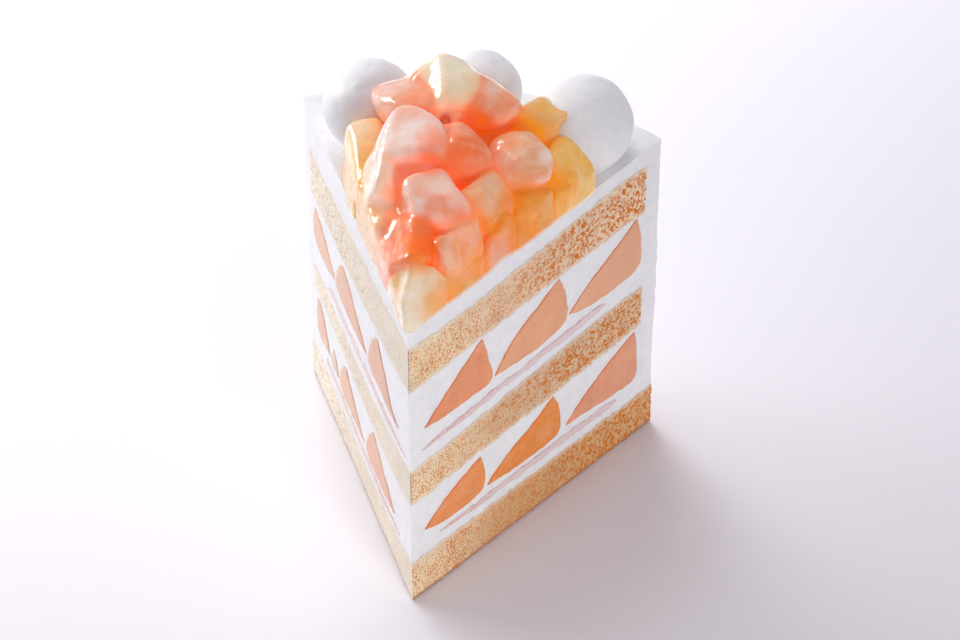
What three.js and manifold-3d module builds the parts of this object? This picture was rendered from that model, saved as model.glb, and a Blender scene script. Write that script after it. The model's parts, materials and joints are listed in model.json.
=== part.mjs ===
// Peach shortcake: one slice of a round layer cake, with peach chunks and three cream balls on top.
// Millimetres, +Z up. The tip of the slice points to -Y and the round outside of the cake to +Y.
// The origin is under the middle of the slice, on the surface that it stands on.

import * as THREE from 'three';
import { mergeVertices } from 'three/addons/utils/BufferGeometryUtils.js';
import Module from 'manifold-3d';

const wasm = await Module();
wasm.setup();

// Driving dimensions
const CAKE_RADIUS = 90;
const WEDGE_ANGLE = THREE.MathUtils.degToRad(61);
const COAT_THICKNESS = 5.4;
const GAP = 0.3;
const TIP_Y = -CAKE_RADIUS / 2;
const SPONGE_RADIUS = CAKE_RADIUS - COAT_THICKNESS - GAP;
const STRIP_THICKNESS = 1.7;

// Steps of the curved surfaces
const STEPS_ACROSS = 12;
const STEPS_ALONG = 3;
const SLICE_STEPS_ACROSS = 4;
const SLICE_STEPS_PER_SPAN = 2;
const CHUNK_DETAIL = 2;
const BALL_STEPS_ROUND = 16;
const BALL_STEPS_UP = 7;

// How far a cutting tool passes the two cut faces, as a share of the wedge angle
const PAST_FACES = 0.04;

// Heights of the layers on the two cut faces, at even distances from the tip out to the cake's radius
const LEVELS = {
  ground: { left: [0, 0, 0, 0], right: [0, 0, 0, 0] },
  bottomSpongeTop: { left: [13.2, 9.9, 10.6, 12.8], right: [13.2, 13.0, 12.9, 12.9] },
  middleSpongeBottom: { left: [32.5, 30.7, 32.9, 34.7], right: [32.5, 34.4, 35.8, 38.2] },
  middleSpongeTop: { left: [44.2, 40.7, 40.6, 42.7], right: [44.2, 46.5, 49.3, 50.2] },
  topSpongeBottom: { left: [69.9, 67.4, 66.2, 65.9], right: [69.9, 71.9, 73.6, 74.9] },
  topSpongeTop: { left: [84.0, 81.9, 80.2, 79.4], right: [84.0, 84.7, 88.0, 89.6] },
  icingTop: { left: [89.4, 90.4, 91.3, 92.3], right: [89.4, 91.3, 93.1, 95.0] },
  lowerStrip: { left: [15.2, 12.9, 14.7, 16.0], right: [17.2, 16.8, 17.0, 16.2] },
  upperStrip: { left: [46.0, 45.0, 45.0, 45.0], right: [48.4, 50.6, 52.6, 54.6] },
};

// Where the jam strips run, as distances from the tip
const STRIPS = {
  jam_strip_lower: { level: 'lowerStrip', from: 10, to: 76 },
  jam_strip_upper: { level: 'upperStrip', from: 6, to: 70.5 },
};

// Outlines of the peach slices on the cut faces, as distance from the tip and height. Each runs
// from the pointed end along the flat underside, up the blunt end and back down the curved top.
const SLICES = {
  peach_slice_lower_inner: {
    right: [
      [4.8, 21.6], [10, 19.8], [19, 19.4], [25.6, 20.8],
      [26, 26], [24, 31.2], [18.5, 30], [11.5, 26.6],
    ],
    left: [
      [14.5, 16.6], [20, 15.6], [29, 15.2], [38.6, 16.4],
      [37, 23], [32, 28.7], [26, 24.6], [19.5, 20],
    ],
  },
  peach_slice_lower_middle: {
    right: [
      [27.2, 20.8], [34, 19.9], [44, 19.4], [53.4, 20.6],
      [53.6, 28.5], [50.4, 33.5], [42.5, 29.8], [34, 26],
    ],
    left: [
      [40.8, 17.4], [45, 16.9], [54, 17], [62.4, 18.6],
      [61, 25.4], [56.6, 29.3], [50.5, 24.2], [45.5, 20.6],
    ],
  },
  peach_slice_lower_outer: {
    right: [
      [56.4, 21.2], [64, 20.7], [74, 19.5], [82.6, 20],
      [83.3, 28], [81.4, 35], [72.5, 32], [63, 26.6],
    ],
    left: [
      [72, 20.4], [75, 19.6], [80, 19.4], [83.2, 20.4],
      [83.4, 26], [82, 32], [78.5, 30.4], [75, 25.4],
    ],
  },
  peach_slice_lower_scrap: {
    right: [
      [60.8, 20.6], [62, 20.2], [63.5, 20.2], [65, 20.8],
      [64.4, 21.6], [63.2, 22.2], [62, 22], [61.2, 21.4],
    ],
    left: [
      [64.2, 19.2], [66, 18.5], [68.4, 18.6], [70.6, 20.2],
      [70.2, 22.4], [68, 26], [66.6, 24.6], [65, 21.8],
    ],
    acrossTo: 0.34,
  },
  peach_slice_upper_inner: {
    right: [
      [5.2, 55.4], [12, 54.7], [21, 54.7], [28.6, 55.6],
      [27.4, 62.5], [24, 69.8], [18, 66], [10.6, 60],
    ],
    left: [
      [9.4, 50.4], [15, 49.5], [25, 49.4], [34.6, 50.6],
      [31.6, 60], [26.4, 64.9], [21, 59.4], [15.6, 52.6],
    ],
  },
  peach_slice_upper_middle: {
    right: [
      [29.8, 56], [38, 55.1], [47, 55.1], [55.6, 57.6],
      [55, 66], [51.6, 71.3], [44.6, 68.4], [36.4, 63.4],
    ],
    left: [
      [36.6, 51.2], [43, 50.2], [53, 50.1], [62.8, 52],
      [60.4, 60], [56, 64], [49.6, 60.4], [42.6, 55.4],
    ],
  },
  peach_slice_upper_outer: {
    right: [
      [56.8, 58.6], [64, 56.5], [74, 56.3], [82.6, 58],
      [83.3, 66], [79.6, 72.6], [71.6, 68.6], [63.4, 63.8],
    ],
    left: [
      [64.4, 52.6], [69, 50.8], [76, 50.5], [82.6, 52],
      [83.3, 58], [81.4, 62.6], [76, 61], [69.6, 56.6],
    ],
  },
};

// Cream balls: centre, widest radius and the radius of the foot that sits on the icing
const BALLS = {
  cream_ball_left: { x: -25.8, y: 19.6, z: 102.8, radius: 10.8, foot: 7.4 },
  cream_ball_middle: { x: 0.3, y: 30.7, z: 103.0, radius: 10.3, foot: 7 },
  cream_ball_right: { x: 28.3, y: 23.3, z: 104.0, radius: 11.7, foot: 8 },
};

// Peach chunks: centre, half sizes, turn about Z and tilt about X and Y in degrees, and seed of the
// rough sides. Where two meet, the one named first keeps its shape and the other is cut back.
const CHUNKS = {
  chunk_crown: {
    at: [-5.4, 13.7, 116.2], half: [5, 6, 8.2],
    turn: 20, tilt: [8, 6], seed: 1, food: 'glazedYellow',
  },
  chunk_centre_front: {
    at: [0.9, -18, 109.4], half: [9, 6.8, 6.4],
    turn: 24, tilt: [6, -8], seed: 2, food: 'glazedPink',
  },
  chunk_mid_left: {
    at: [-9, -4.4, 112], half: [7.6, 7.4, 7.2],
    turn: -18, tilt: [10, -10], seed: 3, food: 'glazedPink',
  },
  chunk_middle: {
    at: [3.6, -3.6, 111.8], half: [6.8, 6.8, 7],
    turn: 30, tilt: [0, 12], seed: 4, food: 'glazedPink',
  },
  chunk_dome_left: {
    at: [-12, 11.3, 111.8], half: [6.2, 7, 6.8],
    turn: 12, tilt: [-6, -14], seed: 5, food: 'glazedPink',
  },
  chunk_crown_right: {
    at: [5, 14.4, 111.6], half: [7.4, 6.4, 6.6],
    turn: -26, tilt: [4, 18], seed: 30, food: 'glazedPink',
  },
  chunk_mid_right: {
    at: [15.2, 2.9, 106.6], half: [6.4, 7.2, 7.8],
    turn: 16, tilt: [8, 10], seed: 7, food: 'glazedPink',
  },
  chunk_centre_right: {
    at: [12.9, -11.5, 105.5], half: [5.6, 7.2, 7.2],
    turn: -14, tilt: [12, 8], seed: 8, food: 'glazedPink',
  },
  chunk_left_column: {
    at: [-13.6, -12, 104.4], half: [4.8, 6.4, 8],
    turn: 14, tilt: [6, -4], seed: 28, food: 'glazedPink',
  },
  chunk_lower_left: {
    at: [-5.6, -26.6, 101.5], half: [8, 7.4, 7.2],
    turn: -24, tilt: [10, -6], seed: 9, food: 'glazedPink',
  },
  chunk_lower_front: {
    at: [0.3, -38.3, 97], half: [7.6, 9.2, 6.2],
    turn: 0, tilt: [12, 0], seed: 10, food: 'glazedYellow',
  },
  chunk_lower_yellow: {
    at: [10.6, -29.4, 96], half: [5.6, 6.8, 4.8],
    turn: -28, tilt: [6, 4], seed: 14, food: 'glazedYellow',
  },
  chunk_small_white: {
    at: [5.6, -28.1, 102], half: [3, 4.2, 5],
    turn: 10, tilt: [6, 4], seed: 11, detail: 1, food: 'glazedYellow',
  },
  chunk_small_pink: {
    at: [10.2, -25.4, 101.6], half: [4.2, 5.4, 5.6],
    turn: -20, tilt: [8, 4], seed: 12, food: 'glazedPink',
  },
  chunk_orange_edge: {
    at: [22.6, -9.8, 96.6], half: [4.6, 5.4, 4.8],
    turn: -30, tilt: [4, 6], seed: 16, food: 'glazedPink',
  },
  chunk_salmon_right: {
    at: [17.4, -18.8, 98], half: [5.8, 6.6, 6],
    turn: -32, tilt: [6, 8], seed: 13, food: 'glazedPink',
  },
  chunk_orange_right: {
    at: [21.4, -4.5, 100.6], half: [6, 5.2, 5],
    turn: -30, tilt: [6, 8], seed: 15, food: 'glazedPink',
  },
  chunk_yellow_top_right: {
    at: [18.7, 16.4, 108.2], half: [5.8, 5.6, 6],
    turn: -20, tilt: [6, 12], seed: 17, food: 'glazedYellow',
  },
  chunk_yellow_right_low: {
    at: [25.4, 1.6, 96.6], half: [4.8, 5.2, 4.6],
    turn: -30, tilt: [4, 6], seed: 19, food: 'glazedYellow',
  },
  chunk_yellow_right: {
    at: [27, 8, 100], half: [5.8, 6.4, 7.4],
    turn: -28, tilt: [4, 8], seed: 18, food: 'glazedYellow',
  },
  chunk_upper_left: {
    at: [-21.6, 5.6, 105.6], half: [4.6, 4.8, 5.4],
    turn: 20, tilt: [0, -10], seed: 20, food: 'glazedYellow',
  },
  chunk_yellow_left: {
    at: [-23, -1.2, 98.8], half: [5.8, 8.4, 7.4],
    turn: 26, tilt: [4, -8], seed: 21, food: 'glazedYellow',
  },
  chunk_yellow_left_low: {
    at: [-16.8, -17, 97.4], half: [5.2, 7.6, 6.2],
    turn: 28, tilt: [6, -6], seed: 22, food: 'glazedYellow',
  },
  chunk_back_left: {
    at: [-9.6, 19, 100], half: [7.4, 6, 7.6],
    turn: 12, tilt: [-8, 4], seed: 23, food: 'glazedPink',
  },
  chunk_back_right: {
    at: [10.6, 18.6, 100], half: [7.6, 6.4, 7.6],
    turn: -16, tilt: [-8, -4], seed: 24, food: 'glazedPink',
  },
  chunk_inner_left: {
    at: [-8.2, 2.4, 98], half: [6.2, 7, 5.6],
    turn: 8, tilt: [2, 0], seed: 25, detail: 1, food: 'glazedPink',
  },
  chunk_inner_right: {
    at: [7.4, 1.4, 97.8], half: [6, 7, 5.4],
    turn: -8, tilt: [2, 2], seed: 26, detail: 1, food: 'glazedPink',
  },
  chunk_inner_front: {
    at: [-1.6, -13.2, 97.4], half: [6, 4.8, 5.2],
    turn: 4, tilt: [2, 0], seed: 27, detail: 1, food: 'glazedPink',
  },
};

// How chunks are cut: the higher the sharpness the crisper the edges between the rough sides.
// The tilt of a side, the reach of the sides and of the cut corners vary from chunk to chunk.
const CHUNK_EDGE_SHARPNESS = 7;
const SIDE_TILT = 0.55;
const SIDE_REACH = { least: 0.92, spread: 0.14 };
const CORNER_REACH = { least: 1.02, spread: 0.16 };
const CUT_CORNERS = 4;

// Room for the toppings: how far they may hang over the cut faces, and the heights it runs between
const CHUNK_OVERHANG = 0.8;
const ROOM_BOTTOM = 80;
const ROOM_TOP = 140;

// Foot of a cream ball: its height, and how far the uncut foot reaches below the icing
const FOOT_HEIGHT = 1;
const FOOT_DEPTH = 2;

// Corners closer than this are one corner
const WELD_DISTANCE = 0.001;

// Colours, roughness and sheen of the foods
const FOODS = {
  cream: { color: 0xf2f1f3, roughness: 0.55 },
  sponge: { color: 0xe3bf8e, roughness: 0.95 },
  peach: { color: 0xe9a074, roughness: 0.35 },
  jam: { color: 0xd9b4b0, roughness: 0.4 },
  glazedPink: { color: 0xf09a78, roughness: 0.15 },
  glazedYellow: { color: 0xf0cf90, roughness: 0.15 },
};

// Point of the slice at a distance from the tip, a share of the way across and a height.
// The share runs from 0 on the left face to 1 on the right one.
function wedgePoint(distance, across, height) {
  const angle = (across - 0.5) * WEDGE_ANGLE;
  return new THREE.Vector3(distance * Math.sin(angle), TIP_Y + distance * Math.cos(angle), height);
}

// Share of the way from the left face to the right one at a place seen from above
function wedgeShare(x, y) {
  return Math.atan2(x, y - TIP_Y) / WEDGE_ANGLE + 0.5;
}

// Height of a named level, straight between its stations and from one cut face to the other
function levelHeight(name, distance, across) {
  const { left, right } = LEVELS[name];
  const station = Math.min(distance / CAKE_RADIUS, 1) * (left.length - 1);
  const index = Math.min(Math.floor(station), left.length - 2);
  const leftHeight = THREE.MathUtils.lerp(left[index], left[index + 1], station - index);
  const rightHeight = THREE.MathUtils.lerp(right[index], right[index + 1], station - index);
  return THREE.MathUtils.lerp(leftHeight, rightHeight, across);
}

// Closed geometry with shared corners and no triangle that has shrunk to a line
function closed(geometry) {
  geometry.deleteAttribute('normal');
  geometry.deleteAttribute('uv');
  const merged = mergeVertices(geometry, WELD_DISTANCE);
  const corners = merged.index.array;
  const kept = [];
  for (let i = 0; i < corners.length; i += 3) {
    const [a, b, c] = [corners[i], corners[i + 1], corners[i + 2]];
    if (a !== b && b !== c && c !== a) {
      kept.push(a, b, c);
    }
  }
  merged.setIndex(kept);
  return merged;
}

// Moves every corner of a geometry to the place that a function gives it
function bend(geometry, place) {
  const position = geometry.attributes.position;
  const corner = new THREE.Vector3();
  for (let i = 0; i < position.count; i += 1) {
    corner.fromBufferAttribute(position, i);
    const moved = place(corner);
    position.setXYZ(i, moved.x, moved.y, moved.z);
  }
  return closed(geometry);
}

// Solid for joining and cutting
function solidOf(geometry) {
  return new wasm.Manifold(new wasm.Mesh({
    numProp: 3,
    vertProperties: new Float32Array(geometry.attributes.position.array),
    triVerts: new Uint32Array(geometry.index.array),
  }));
}

// Geometry of a solid
function geometryOf(solid) {
  const mesh = solid.getMesh();
  const geometry = new THREE.BufferGeometry();
  geometry.setAttribute('position', new THREE.BufferAttribute(mesh.vertProperties, 3));
  geometry.setIndex(new THREE.BufferAttribute(mesh.triVerts, 1));
  return geometry;
}

// The largest body of a solid, so that a cut leaves no scraps
function largestBody(solid) {
  const bodies = solid.decompose();
  bodies.sort((a, b) => b.volume() - a.volume());
  return bodies[0];
}

// Stations from the left face to the right one, with one more beyond each face for a cutting tool
function stationsAcross(steps, past) {
  const stations = Array.from({ length: steps + 1 }, (_, i) => i / steps);
  return past > 0 ? [-past, ...stations, 1 + past] : stations;
}

// Block of the slice out to a distance, between two levels
function wedgeBlock({ from = 0, to, bottom, top, past = 0 }) {
  const stations = stationsAcross(STEPS_ACROSS, past);
  const last = stations.length - 1;
  const box = new THREE.BoxGeometry(1, 1, 1, last, STEPS_ALONG, 1);
  return solidOf(bend(box, (corner) => {
    const distance = THREE.MathUtils.lerp(from, to, corner.y + 0.5);
    const across = stations[Math.round((corner.x + 0.5) * last)];
    const height = corner.z < 0 ? bottom(distance, across) : top(distance, across);
    return wedgePoint(distance, across, height);
  }));
}

// A level moved up or down by a fixed amount, as a function of the place
function level(name, lift = 0) {
  return (distance, across) => levelHeight(name, distance, across) + lift;
}

// Smooth outline through the named points, pushed outwards by the clearance
function sliceOutline(points, clearance) {
  const corners = points.map(([distance, height]) => new THREE.Vector3(distance, height, 0));
  const curve = new THREE.CatmullRomCurve3(corners, true, 'centripetal');
  const count = points.length * SLICE_STEPS_PER_SPAN;
  const outline = [];
  for (let i = 0; i < count; i += 1) {
    const point = curve.getPoint(i / count);
    const ahead = curve.getTangent(i / count);
    outline.push(new THREE.Vector2(point.x + ahead.y * clearance, point.y - ahead.x * clearance));
  }
  return outline;
}

// Peach slice that runs from the left cut face to the right one, turning about the tip of the cake.
// A scrap that shows on the left face only ends part of the way across.
function peachSlice({ left, right, acrossTo = 1 }, clearance = 0) {
  const leftOutline = sliceOutline(left, clearance);
  const rightOutline = sliceOutline(right, clearance);
  const count = leftOutline.length;
  const stations = stationsAcross(SLICE_STEPS_ACROSS, clearance > 0 ? PAST_FACES : 0);
  const last = stations.length - 1;
  const tube = new THREE.CylinderGeometry(1, 1, 1, count, last);
  return solidOf(bend(tube, (corner) => {
    const across = stations[Math.round((corner.y + 0.5) * last)];
    const section = new THREE.Vector2();
    const isEndCentre = Math.hypot(corner.x, corner.z) < 0.5;
    if (isEndCentre) {
      leftOutline.forEach((point, i) => {
        section.add(point.clone().lerp(rightOutline[i], across).divideScalar(count));
      });
    } else {
      const turns = Math.atan2(corner.x, corner.z) / (2 * Math.PI);
      const index = Math.round((turns + 1) * count) % count;
      section.lerpVectors(leftOutline[index], rightOutline[index], across);
    }
    return wedgePoint(section.x, across * acrossTo, section.y);
  }));
}

// Flat strip of jam that runs from face to face
function jamStrip({ level: name, from, to }, clearance = 0) {
  return wedgeBlock({
    from: from - clearance,
    to: to + clearance,
    bottom: level(name, -STRIP_THICKNESS / 2 - clearance),
    top: level(name, STRIP_THICKNESS / 2 + clearance),
    past: clearance > 0 ? PAST_FACES : 0,
  });
}

// Cream between two sponges, cut out round the slices and the strip that lie in it
function creamLayer(below, above, stripName, sliceNames) {
  let solid = wedgeBlock({
    to: SPONGE_RADIUS,
    bottom: level(below, GAP),
    top: level(above, -GAP),
  });
  solid = solid.subtract(jamStrip(STRIPS[stripName], GAP));
  for (const name of sliceNames) {
    solid = solid.subtract(peachSlice(SLICES[name], GAP));
  }
  return largestBody(solid);
}

// Top layer of cream and the coat on the round outside, in one piece
function icing() {
  const outer = wedgeBlock({
    to: CAKE_RADIUS,
    bottom: level('bottomSpongeTop', GAP),
    top: level('icingTop'),
  });
  const inner = wedgeBlock({
    to: SPONGE_RADIUS + GAP,
    bottom: level('ground'),
    top: level('topSpongeTop', GAP),
    past: PAST_FACES,
  });
  return largestBody(outer.subtract(inner));
}

// Round cream ball whose foot spreads a little on the icing
function creamBall({ x, y, z, radius, foot }) {
  const iced = levelHeight('icingTop', Math.hypot(x, y - TIP_Y), wedgeShare(x, y));
  const base = iced + GAP - z;
  const profile = [new THREE.Vector2(0, base - FOOT_DEPTH), new THREE.Vector2(foot, base - FOOT_DEPTH)];
  const footAngle = Math.asin((base + FOOT_HEIGHT) / radius);
  for (let i = 0; i <= BALL_STEPS_UP; i += 1) {
    const angle = THREE.MathUtils.lerp(footAngle, Math.PI / 2, i / BALL_STEPS_UP);
    const least = i < 2 ? foot : 0;
    profile.push(new THREE.Vector2(Math.max(radius * Math.cos(angle), least), radius * Math.sin(angle)));
  }
  profile[profile.length - 1].x = 0;
  const ball = new THREE.LatheGeometry(profile, BALL_STEPS_ROUND);
  ball.rotateX(Math.PI / 2);
  ball.translate(x, y, z);
  return solidOf(closed(ball)).subtract(underTop());
}

// Everything below the top of the icing and a gap above it
function underTop() {
  return wedgeBlock({
    to: CAKE_RADIUS + CHUNK_OVERHANG,
    bottom: level('ground'),
    top: level('icingTop', GAP),
    past: 2 * PAST_FACES,
  });
}

// Room that the toppings may take: the slice seen from above, with a small overhang
function toppingRoom() {
  const tipHalf = CHUNK_OVERHANG / Math.cos(WEDGE_ANGLE / 2);
  const backHalf = tipHalf + CAKE_RADIUS * Math.tan(WEDGE_ANGLE / 2);
  const shape = new THREE.Shape([
    new THREE.Vector2(-tipHalf, TIP_Y),
    new THREE.Vector2(tipHalf, TIP_Y),
    new THREE.Vector2(backHalf, TIP_Y + CAKE_RADIUS),
    new THREE.Vector2(-backHalf, TIP_Y + CAKE_RADIUS),
  ]);
  const room = new THREE.ExtrudeGeometry(shape, { depth: ROOM_TOP - ROOM_BOTTOM, bevelEnabled: false });
  room.translate(0, 0, ROOM_BOTTOM);
  return solidOf(closed(room));
}

// Random numbers from 0 to 1 from a seed, the same on every run
function randomFrom(seed) {
  const modulus = 2147483647;
  const multiplier = 16807;
  let state = seed * 7919 + 17;
  return () => {
    state = (state * multiplier) % modulus;
    return state / modulus;
  };
}

// Random vector whose parts run from -0.5 to 0.5
function randomVector(random) {
  return new THREE.Vector3(random() - 0.5, random() - 0.5, random() - 0.5);
}

// Planes of a hand-cut chunk: six rough sides and the cut corners, as normal and distance from its centre
function chunkPlanes(half, seed) {
  const random = randomFrom(seed);
  random();
  const planes = [];
  for (const axis of [0, 1, 2]) {
    for (const side of [-1, 1]) {
      const normal = randomVector(random).multiplyScalar(SIDE_TILT);
      normal.setComponent(axis, side);
      const share = SIDE_REACH.least + SIDE_REACH.spread * random();
      planes.push({ normal: normal.normalize(), distance: half[axis] * share });
    }
  }
  for (let i = 0; i < CUT_CORNERS; i += 1) {
    const normal = randomVector(random).normalize();
    const reach = Math.hypot(normal.x * half[0], normal.y * half[1], normal.z * half[2]);
    const share = CORNER_REACH.least + CORNER_REACH.spread * random();
    planes.push({ normal, distance: reach * share });
  }
  return planes;
}

// Chunk with softly rounded edges, grown by the clearance
function peachChunk({ at, half, turn, tilt, seed, detail = CHUNK_DETAIL }, clearance = 0) {
  const planes = chunkPlanes(half, seed);
  const stone = new THREE.IcosahedronGeometry(1, detail);
  const spin = new THREE.Euler(
    THREE.MathUtils.degToRad(tilt[0]),
    THREE.MathUtils.degToRad(tilt[1]),
    THREE.MathUtils.degToRad(turn),
    'ZYX',
  );
  return solidOf(bend(stone, (corner) => {
    const direction = corner.clone().normalize();
    let sum = 0;
    for (const { normal, distance } of planes) {
      sum += Math.max(0, direction.dot(normal) / (distance + clearance)) ** CHUNK_EDGE_SHARPNESS;
    }
    const reach = sum ** (-1 / CHUNK_EDGE_SHARPNESS);
    return direction.multiplyScalar(reach).applyEuler(spin).add(new THREE.Vector3(...at));
  }));
}

// All chunks, each cut back from the balls, the icing and the chunks named before it
function chunkHeap(balls) {
  const heap = {};
  const room = toppingRoom();
  const floor = underTop();
  const taken = [...balls];
  for (const [name, chunk] of Object.entries(CHUNKS)) {
    let solid = peachChunk(chunk).intersect(room).subtract(floor);
    for (const other of taken) {
      solid = solid.subtract(other);
    }
    heap[name] = largestBody(solid);
    taken.push(peachChunk(chunk, GAP));
  }
  return heap;
}

// Adds a named mesh of one food to the slice
function addPiece(slice, name, solid, food) {
  const material = new THREE.MeshStandardMaterial({ ...FOODS[food], metalness: 0 });
  const mesh = new THREE.Mesh(geometryOf(solid), material);
  mesh.name = name;
  slice.add(mesh);
}

const slice = new THREE.Group();
slice.name = 'peach_shortcake';

addPiece(slice, 'sponge_bottom', wedgeBlock({
  to: CAKE_RADIUS,
  bottom: level('ground'),
  top: level('bottomSpongeTop'),
}), 'sponge');
addPiece(slice, 'sponge_middle', wedgeBlock({
  to: SPONGE_RADIUS,
  bottom: level('middleSpongeBottom'),
  top: level('middleSpongeTop'),
}), 'sponge');
addPiece(slice, 'sponge_top', wedgeBlock({
  to: SPONGE_RADIUS,
  bottom: level('topSpongeBottom'),
  top: level('topSpongeTop'),
}), 'sponge');

const lowerSlices = Object.keys(SLICES).filter((name) => name.includes('lower'));
const upperSlices = Object.keys(SLICES).filter((name) => name.includes('upper'));
const lowerCream = creamLayer('bottomSpongeTop', 'middleSpongeBottom', 'jam_strip_lower', lowerSlices);
const upperCream = creamLayer('middleSpongeTop', 'topSpongeBottom', 'jam_strip_upper', upperSlices);
addPiece(slice, 'cream_layer_lower', lowerCream, 'cream');
addPiece(slice, 'cream_layer_upper', upperCream, 'cream');
addPiece(slice, 'icing', icing(), 'cream');

for (const [name, strip] of Object.entries(STRIPS)) {
  addPiece(slice, name, jamStrip(strip), 'jam');
}
for (const [name, outlines] of Object.entries(SLICES)) {
  addPiece(slice, name, peachSlice(outlines), 'peach');
}
const grownBalls = [];
for (const [name, ball] of Object.entries(BALLS)) {
  addPiece(slice, name, creamBall(ball), 'cream');
  grownBalls.push(creamBall({ ...ball, radius: ball.radius + GAP, foot: ball.foot + GAP }));
}
for (const [name, solid] of Object.entries(chunkHeap(grownBalls))) {
  addPiece(slice, name, solid, CHUNKS[name].food);
}

export default slice;
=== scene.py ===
import json
import math

import bpy
import numpy as np
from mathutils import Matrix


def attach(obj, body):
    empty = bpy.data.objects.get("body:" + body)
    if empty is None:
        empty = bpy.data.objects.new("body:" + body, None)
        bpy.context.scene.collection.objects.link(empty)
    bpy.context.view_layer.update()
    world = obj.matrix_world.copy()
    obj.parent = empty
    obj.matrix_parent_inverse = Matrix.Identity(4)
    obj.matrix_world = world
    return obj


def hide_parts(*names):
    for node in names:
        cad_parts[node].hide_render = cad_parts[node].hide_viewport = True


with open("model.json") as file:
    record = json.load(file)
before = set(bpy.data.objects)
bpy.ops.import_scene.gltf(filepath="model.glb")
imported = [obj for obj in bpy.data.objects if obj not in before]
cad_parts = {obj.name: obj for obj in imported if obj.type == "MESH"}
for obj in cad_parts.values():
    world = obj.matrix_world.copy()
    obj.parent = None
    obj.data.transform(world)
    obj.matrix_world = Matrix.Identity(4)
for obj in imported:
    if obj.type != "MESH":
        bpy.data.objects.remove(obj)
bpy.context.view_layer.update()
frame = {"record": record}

import openvdb
from mathutils import Euler, Vector

# Lengths are in millimetres until a mesh is made, in the frame of the CAD solids:
# +Z up, the tip of the slice towards -Y and the round outside of the cake towards +Y.
MM = 0.001

# The slice, as in the solids
CAKE_RADIUS = 90.0
WEDGE_ANGLE = math.radians(61)
COAT_THICKNESS = 5.4
TIP_Y = -45.0
SPONGE_RADIUS = CAKE_RADIUS - COAT_THICKNESS
# Heights of the levels at four distances from the tip, on the left face and on the right one
STATIONS = np.array([0.0, 30.0, 60.0, 90.0])
LEVELS = {
    "ground": ([0, 0, 0, 0], [0, 0, 0, 0]),
    "bottom_top": ([13.2, 9.9, 10.6, 12.8], [13.2, 13.0, 12.9, 12.9]),
    "middle_bottom": ([32.5, 30.7, 32.9, 34.7], [32.5, 34.4, 35.8, 38.2]),
    "middle_top": ([44.2, 40.7, 40.6, 42.7], [44.2, 46.5, 49.3, 50.2]),
    "top_bottom": ([69.9, 67.4, 66.2, 65.9], [69.9, 71.9, 73.6, 74.9]),
    "top_top": ([84.0, 81.9, 80.2, 79.4], [84.0, 84.7, 88.0, 89.6]),
    "icing_top": ([89.4, 90.4, 91.3, 92.3], [89.4, 91.3, 93.1, 95.0]),
    "lower_strip": ([15.2, 12.9, 14.7, 16.0], [17.2, 16.8, 17.0, 16.2]),
    "upper_strip": ([46.0, 45.0, 45.0, 45.0], [48.4, 50.6, 52.6, 54.6]),
}
# Jam strips: level, and where they start and end as distances from the tip
STRIPS = {
    "jam_strip_lower": ("lower_strip", 10.0, 76.0),
    "jam_strip_upper": ("upper_strip", 4.0, 70.5),
}
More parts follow.
